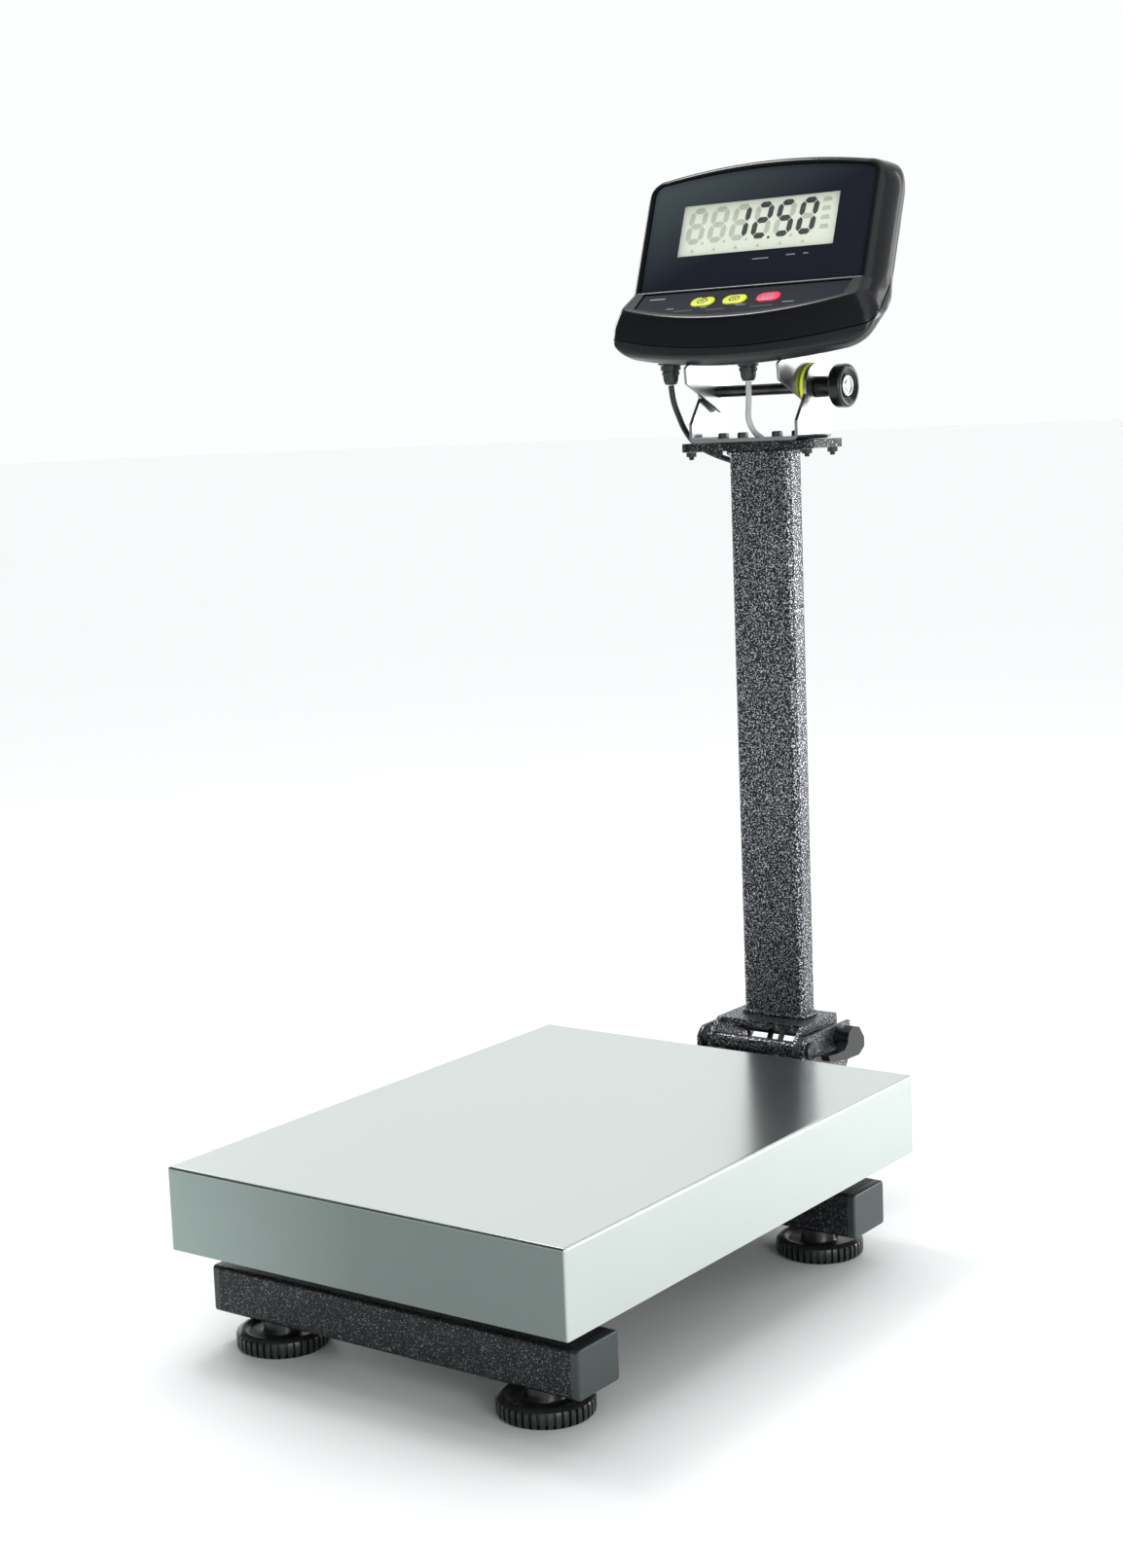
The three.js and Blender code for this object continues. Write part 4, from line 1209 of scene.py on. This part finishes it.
def seamRegion(forward, offset):
    # everything in front of the seam, or everything behind it
    s, c = spread(headShape["slope"])
    fs, fc = spread(headShape["lean"])
    (footY, footZ), (bendY, bendZ) = headShape["seamFoot"], headShape["seamBend"]
    start = (footY - 40 * c, footZ - 40 * s - offset)
    bend = (bendY + offset, bendZ - offset)
    end = (bend[0] + 115 * fs, bend[1] + 115 * fc)
    if forward:
        outline = [start, bend, end, (380, end[1]), (380, start[1])]
    else:
        outline = [start, (start[0], 560), (580, 560), (580, end[1]), end, bend]
    return plate("region", [at(-125, y, z) for y, z in outline], (0.25, 0, 0))


displayShape = {"half": 89, "low": 1, "high": 81, "arch": 6, "corner": 8, "recess": 1.3, "film": 1,
                "windowHalf": 63, "windowLow": 26, "windowHigh": 64}
shelfShape = {"half": 84, "back": -2.5, "front": -33, "bow": 0.0019, "keyLong": 19, "keyShort": 10.5}
keys = {"key_print": (-29, -15.5), "key_tare": (-3, -15.5), "key_zero": (24, -15.5)}
glands = {"power_gland": (-62, 459), "signal_gland": (0, 462.5)}
glandShape = {"seat": 9, "seatLow": 596.2, "seatHigh": 616, "hole": 5.4, "flutes": 12, "fluteShrink": 0.9}


def archedOutline(grow=0.0, steps=16):
    d = displayShape
    half, corner = d["half"] + grow, d["corner"]
    outline = arc(half - 2, d["low"] - grow + 2, 2, -90, 0, 4)
    outline += arc(half - corner, d["high"] + grow - corner, corner, 0, 80, 9)
    for i in range(steps + 1):
        t = i / steps * 2 - 1
        outline.append((-t * (half - corner), d["high"] + grow + d["arch"] * (1 - t * t)))
    outline += arc(-half + corner, d["high"] + grow - corner, corner, 100, 180, 9)
    outline += arc(-half + 2, d["low"] - grow + 2, 2, 180, 270, 4)
    return outline


def shelfOutline(grow=0.0, steps=20):
    k = shelfShape
    half = k["half"] + grow
    places = [(i / steps * 2 - 1) * half for i in range(steps + 1)]
    front = [(x, k["front"] - grow + k["bow"] * x ** 2) for x in places]
    return [*front, (half, k["back"] + grow), (-half, k["back"] + grow)]


def oval(x, y, long, wide, steps=12):
    run = (long - wide) / 2
    return arc(x + run, y, wide / 2, -90, 90, steps) + arc(x - run, y, wide / 2, 90, 270, steps)


def keyOutline(x, y, grow=0.0):
    return oval(x, y, shelfShape["keyLong"] + grow, shelfShape["keyShort"] + grow)


def raised(surface, name, outline, low, high):
    lift = surface(0, 0, high) - surface(0, 0, low)
    return plate(name, [surface(x, y, low) for x, y in outline], lift)


def onFace(*shape):
    return raised(facePoint, *shape)


def onShelf(*shape):
    return raised(shelfPoint, *shape)


def windowOutline(grow, corner, steps):
    d = displayShape
    return roundedBox(d["windowHalf"] + grow, d["windowLow"] - grow, d["windowHigh"] + grow, corner, steps)


def makeHousing():
    recessLow = -displayShape["recess"]
    front = headBlock("indicatorFrontShell")
    rear = linked("indicatorRearShell", front.data.copy())
    carve(front, seamRegion(True, 0), operation="INTERSECT")
    carve(rear, seamRegion(False, headShape["seamGap"]), operation="INTERSECT")
    carve(front, headBlock("hollow", headShape["wall"]), onFace("recess", archedOutline(0.35), recessLow, 12),
          onFace("window", windowOutline(3, 1, 3), -16, 4),
          onShelf("padRecess", shelfOutline(0.35), recessLow, 9))
    for x, y in keys.values():
        carve(front, onShelf("well", keyOutline(x, y, 1), -12, 4))
    carve(rear, headBlock("hollow", headShape["wall"]))
    for x, y in glands.values():
        low, high = at(x, y, glandShape["seatLow"]), at(x, y, glandShape["seatHigh"])
        carve(rear, rod("seat", glandShape["seat"] * mm, low, high, 40), operation="UNION")
        carve(rear, rod("hole", glandShape["hole"] * mm, at(x, y, 588), at(x, y, 622), 32))
    for piece, node, finish in ((front, "indicator_front_shell", None),
                                (rear, "indicator_rear_shell", satinShell)):
        with editing(piece):
            tidyMesh(0.00003)
        soften(piece, 0.4, 2, 50)
        deliver(piece, "indicator", "black_plastic", [node], finish, angle=32)


def makeDisplay():
    film = onFace("displayOverlay", archedOutline(), -displayShape["film"], 0)
    carve(film, onFace("window", windowOutline(0, 0.8, 4), -5, 5))
    pane = onFace("displayWindow", windowOutline(2.5, 1, 4), -2.4, -1.4)
    glass = onFace("lcdModule", roundedBox(67, 22, 68, 0.6, 3), -8.5, -3)
    for piece, edge, slot, node in ((film, 0.18, "overlay_film", "display_overlay"),
                                    (pane, 0.15, "clear_pane", "display_window"),
                                    (glass, 0.3, "lcd_glass", "lcd_module")):
        soften(piece, edge, 2, 50)
        deliver(piece, "indicator", slot, [node])


digitShape = {"wide": 14.6, "tall": 26.8, "stroke": 4.2, "pitch": 18, "first": -60.5, "low": 35.8,
              "slant": 0.10, "gap": 0.45, "depth": -3, "thick": 0.12, "thin": 0.048, "thinnest": 0.04,
              "point": 1.1}
# which strokes are dark: top, upper right, lower right, bottom, lower left, upper left, middle
digitStrokes = {" ": "0000000", "1": "0110000", "2": "1101101", "5": "1011011", "0": "1111110"}


def stroke(x0, y0, x1, y1, half):
    along = Vector((x1 - x0, y1 - y0)).normalized()
    across = Vector((-along.y, along.x)) * half
    a, b = Vector((x0, y0)), Vector((x1, y1))
    step = along * half
    return [a, a + step - across, b - step - across, b, b - step + across, a + step + across]


def makeDigits():
    g = digitShape
    half, gap = g["stroke"] / 2, g["gap"]
    left, right = half, g["wide"] - half
    bottom, top, mid = half, g["tall"] - half, g["tall"] / 2
    lines = [(left + gap, top, right - gap, top), (right, top - gap, right, mid + gap),
             (right, mid - gap, right, bottom + gap), (left + gap, bottom, right - gap, bottom),
             (left, bottom + gap, left, mid - gap), (left, mid + gap, left, top - gap),
             (left + gap, mid, right - gap, mid)]
    dark, pale = [], []

    def addMark(name, outline, thick, lit=False):
        mark = onFace(name, outline, g["depth"], g["depth"] + thick)
        (dark if lit else pale).append(mark)

    for place, figure in enumerate("  1250"):
        for line, lit in zip(lines, digitStrokes[figure]):
            start = g["first"] + place * g["pitch"]
            outline = [(start + p.x + g["slant"] * p.y, g["low"] + p.y) for p in stroke(*line, half)]
            addMark("segment", outline, g["thick" if lit == "1" else "thin"], lit == "1")
        if place < 5:
            x = g["first"] + (place + 1) * g["pitch"] - 2.6
            addMark("point", arc(x, g["low"] + 0.2, g["point"], 0, 330, 11), g["thin"], place == 3)
    for place in range(6):
        x, y = g["first"] + 6 + place * g["pitch"], g["low"] - 6
        addMark("marker", [(x, y), (x + 3.4, y), (x + 1.7, y + 2.6)], g["thinnest"])
    for line in range(4):
        y = g["low"] + 3 + line * 6.6
        addMark("mark", [(48.5, y), (56, y), (55, y + 3.2), (49.5, y + 3.2)], g["thinnest"])
    for name, marks, ink in (("lcdDigits", dark, inkDark), ("lcdGhosts", pale, inkGhost)):
        deliver(together(name, marks), "indicator", "lcd_glass", finish=ink, crisp=False)


legends = {"face": [(7, 19.6, 13, 0.8), (31, 20.6, 7, 0.8), (43, 20.6, 4, 0.8)],
           "shelf": [(-70, -8.5, 13, 1.3), (-53, -21.8, 6, 0.8), (-25, -22.5, 5, 0.8), (5, -22.5, 8, 0.8),
                     (43, -23, 9, 0.8)],
           "slots": [(-40.5, -25.2, 15, 1.8), (-13.5, -26, 15, 1.8), (23, -26, 18, 1.8)]}


def bar(x, y, long, wide):
    left, right, bottom, top = x - long / 2, x + long / 2, y - wide / 2, y + wide / 2
    return [(left, bottom), (right, bottom), (right, top), (left, top)]


def makeKeypad():
    film = onShelf("keypadOverlay", shelfOutline(), -1, 0)
    for x, y in keys.values():
        carve(film, onShelf("well", keyOutline(x, y, 0.8), -3, 3))
    soften(film, 0.18, 2, 50)
    deliver(film, "indicator", "overlay_film", ["keypad_overlay"])
    prints = [onFace("legend", bar(*row), 0, 0.06) for row in legends["face"]]
    prints += [onShelf("legend", bar(*row), 0, 0.06) for row in legends["shelf"]]
    deliver(together("overlayLegends", prints), "indicator", "overlay_film", finish=inkWhite, crisp=False)
    slots = [onShelf("slotMark", bar(*row), 0, 0.08) for row in legends["slots"]]
    deliver(together("overlayMarks", slots), "indicator", "overlay_film", finish=inkNavy, crisp=False)
    up = (shelfPoint(0, 0, 1) - shelfPoint(0, 0)).normalized()
    for node, (x, y) in keys.items():
        name, red = node.split("_")[1], node == "key_zero"
        slot, ink = ("red_plastic", inkWhite) if red else ("yellow_plastic", inkDark)
        cap = onShelf("keyCap." + name, keyOutline(x, y), -6.7, 0.3)
        with editing(cap):
            chooseFaces(cap, lambda spot, normal: normal.dot(up) > 0.9)
            bpy.ops.mesh.inset(thickness=1.1 * mm)
            bpy.ops.transform.translate(value=up * 0.35 * mm)
        soften(cap, 0.35, 2, 60)
        deliver(cap, node, slot, [node], crisp=False)
        ringMark = onShelf("keyMark", oval(x, y, 8.4, 5.6), 0.62, 0.7)
        carve(ringMark, onShelf("hole", oval(x, y, 6.6, 3.8), 0.3, 1))
        icon = [ringMark, onShelf("keyMark", bar(x, y, 1.2 if red else 3.6, 1.1), 0.62, 0.7)]
        if node == "key_print":
            icon.append(onShelf("keyMark", bar(x, y + 4, 4.5, 0.9), 0.62, 0.7))
        deliver(together("keyPrint." + name, icon), node, slot, finish=ink, crisp=False)


def makeGlands():
    profile = [(0, 582), (3.2, 582), (4.2, 582.6), (5.2, 585), (5.6, 588.6), (6.4, 589.4), (6.4, 591),
               (5.9, 591.4), (5.9, 592), (7.3, 592.4), (7.3, 595.9), (5, 595.9), (5, 617.5), (0, 617.5)]
    step = 2 * math.pi / glandShape["flutes"]
    for node, (x, y) in glands.items():
        body = turned(node.split("_")[0] + "Gland", profile, at(x, y, 0), zAxis, 48)
        centre = at(x, y, 585)

        def inFlute(spot, normal):
            angle = math.atan2(spot.y - centre.y, spot.x - centre.x) % step
            return 582.8 < spot.z / mm < 589.2 and abs(normal.z) < 0.8 and angle < step / 2

        with editing(body):
            recess(body, inFlute, glandShape["fluteShrink"], centre)
        deliver(body, "indicator", "plug_plastic", [node], crisp=False)


# Leads: their points are the frame's own routes

leadRadius = 2.1
leadRoutes = {
    "signal_lead_head": [
        (0, 462.5, 581.6), (0, 462, 567), (0.5, 460.5, 556), (2.5, 464, 547), (4.5, 473, 541), (5, 480.5, 536),
        (5, 482, 531.5), (5, 482, 528.2)],
    "signal_lead_column": [(5, 482, 527.6), (5, 482, 326), (5, 482, 128.4)],
    "signal_lead_base": [
        (5, 482, 128), (5, 482, 125), (5, 480.5, 118), (5, 472, 106), (5, 462, 92), (5, 446, 76),
        (5, 428, 62), (5, 405, 56), (5, 370, 53.2), (5, 320, 53.2), (5, 290, 56), (5, 278, 65),
        (5, 271, 67), (5, 265.6, 67)],
    "power_lead_head": [
        (-62, 459, 581.6), (-61.5, 461, 570), (-60.5, 466, 559), (-60, 472, 550), (-59.5, 481, 542),
        (-59, 493, 536), (-52, 503.5, 530), (-36, 507, 524), (-18, 504, 518), (-7, 497, 513),
        (-5, 488, 511)],
    "power_lead_column": [(-5, 484, 509), (-5, 482, 480), (-5, 482, 300), (-5, 482, 128.4)],
    "power_lead_base": [
        (-5, 482, 128), (-5, 482, 125), (-5, 480.5, 118), (-5, 474, 106), (-9, 472, 96), (-18, 473, 91),
        (-29.6, 474, 90)],
}


def makeLeads():
    for node, route in leadRoutes.items():
        first, *rest = node.split("_")
        name = first + "".join(part.title() for part in rest)
        piece = wire(name, [at(*point) for point in route], leadRadius, 4, 5)
        activate(piece)
        bpy.ops.object.shade_smooth_by_angle(angle=math.radians(60))
        piece.data.materials.clear()
        slot = "grey_lead" if node.startswith("signal") else "black_lead"
        piece.data.materials.append(paints[slot])
        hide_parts(node)
        if node.endswith("head"):
            at(0, 482, 545)
            at(0, 482, 577)
            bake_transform(piece)
        elif node.endswith("base"):
            at(0, 462, 92)
            at(0, 480, 124)
            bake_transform(piece)
        else:
            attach(piece, "column")


makeLoadCell()
makeSubframe()
makeHinge()
makeClamp()
print("hinge and clamp")
makeColumn()
makeTopPlate()
makeYoke()
makePivot()
roundedNode("indicatorBracket", "indicator_bracket", "indicator", "stainless", 0.35, 2, yokeSteel)
print("column and yoke")
makeHousing()
makeDisplay()
makeDigits()
makeKeypad()
makeGlands()
makeLeads()
print("indicator and leads")
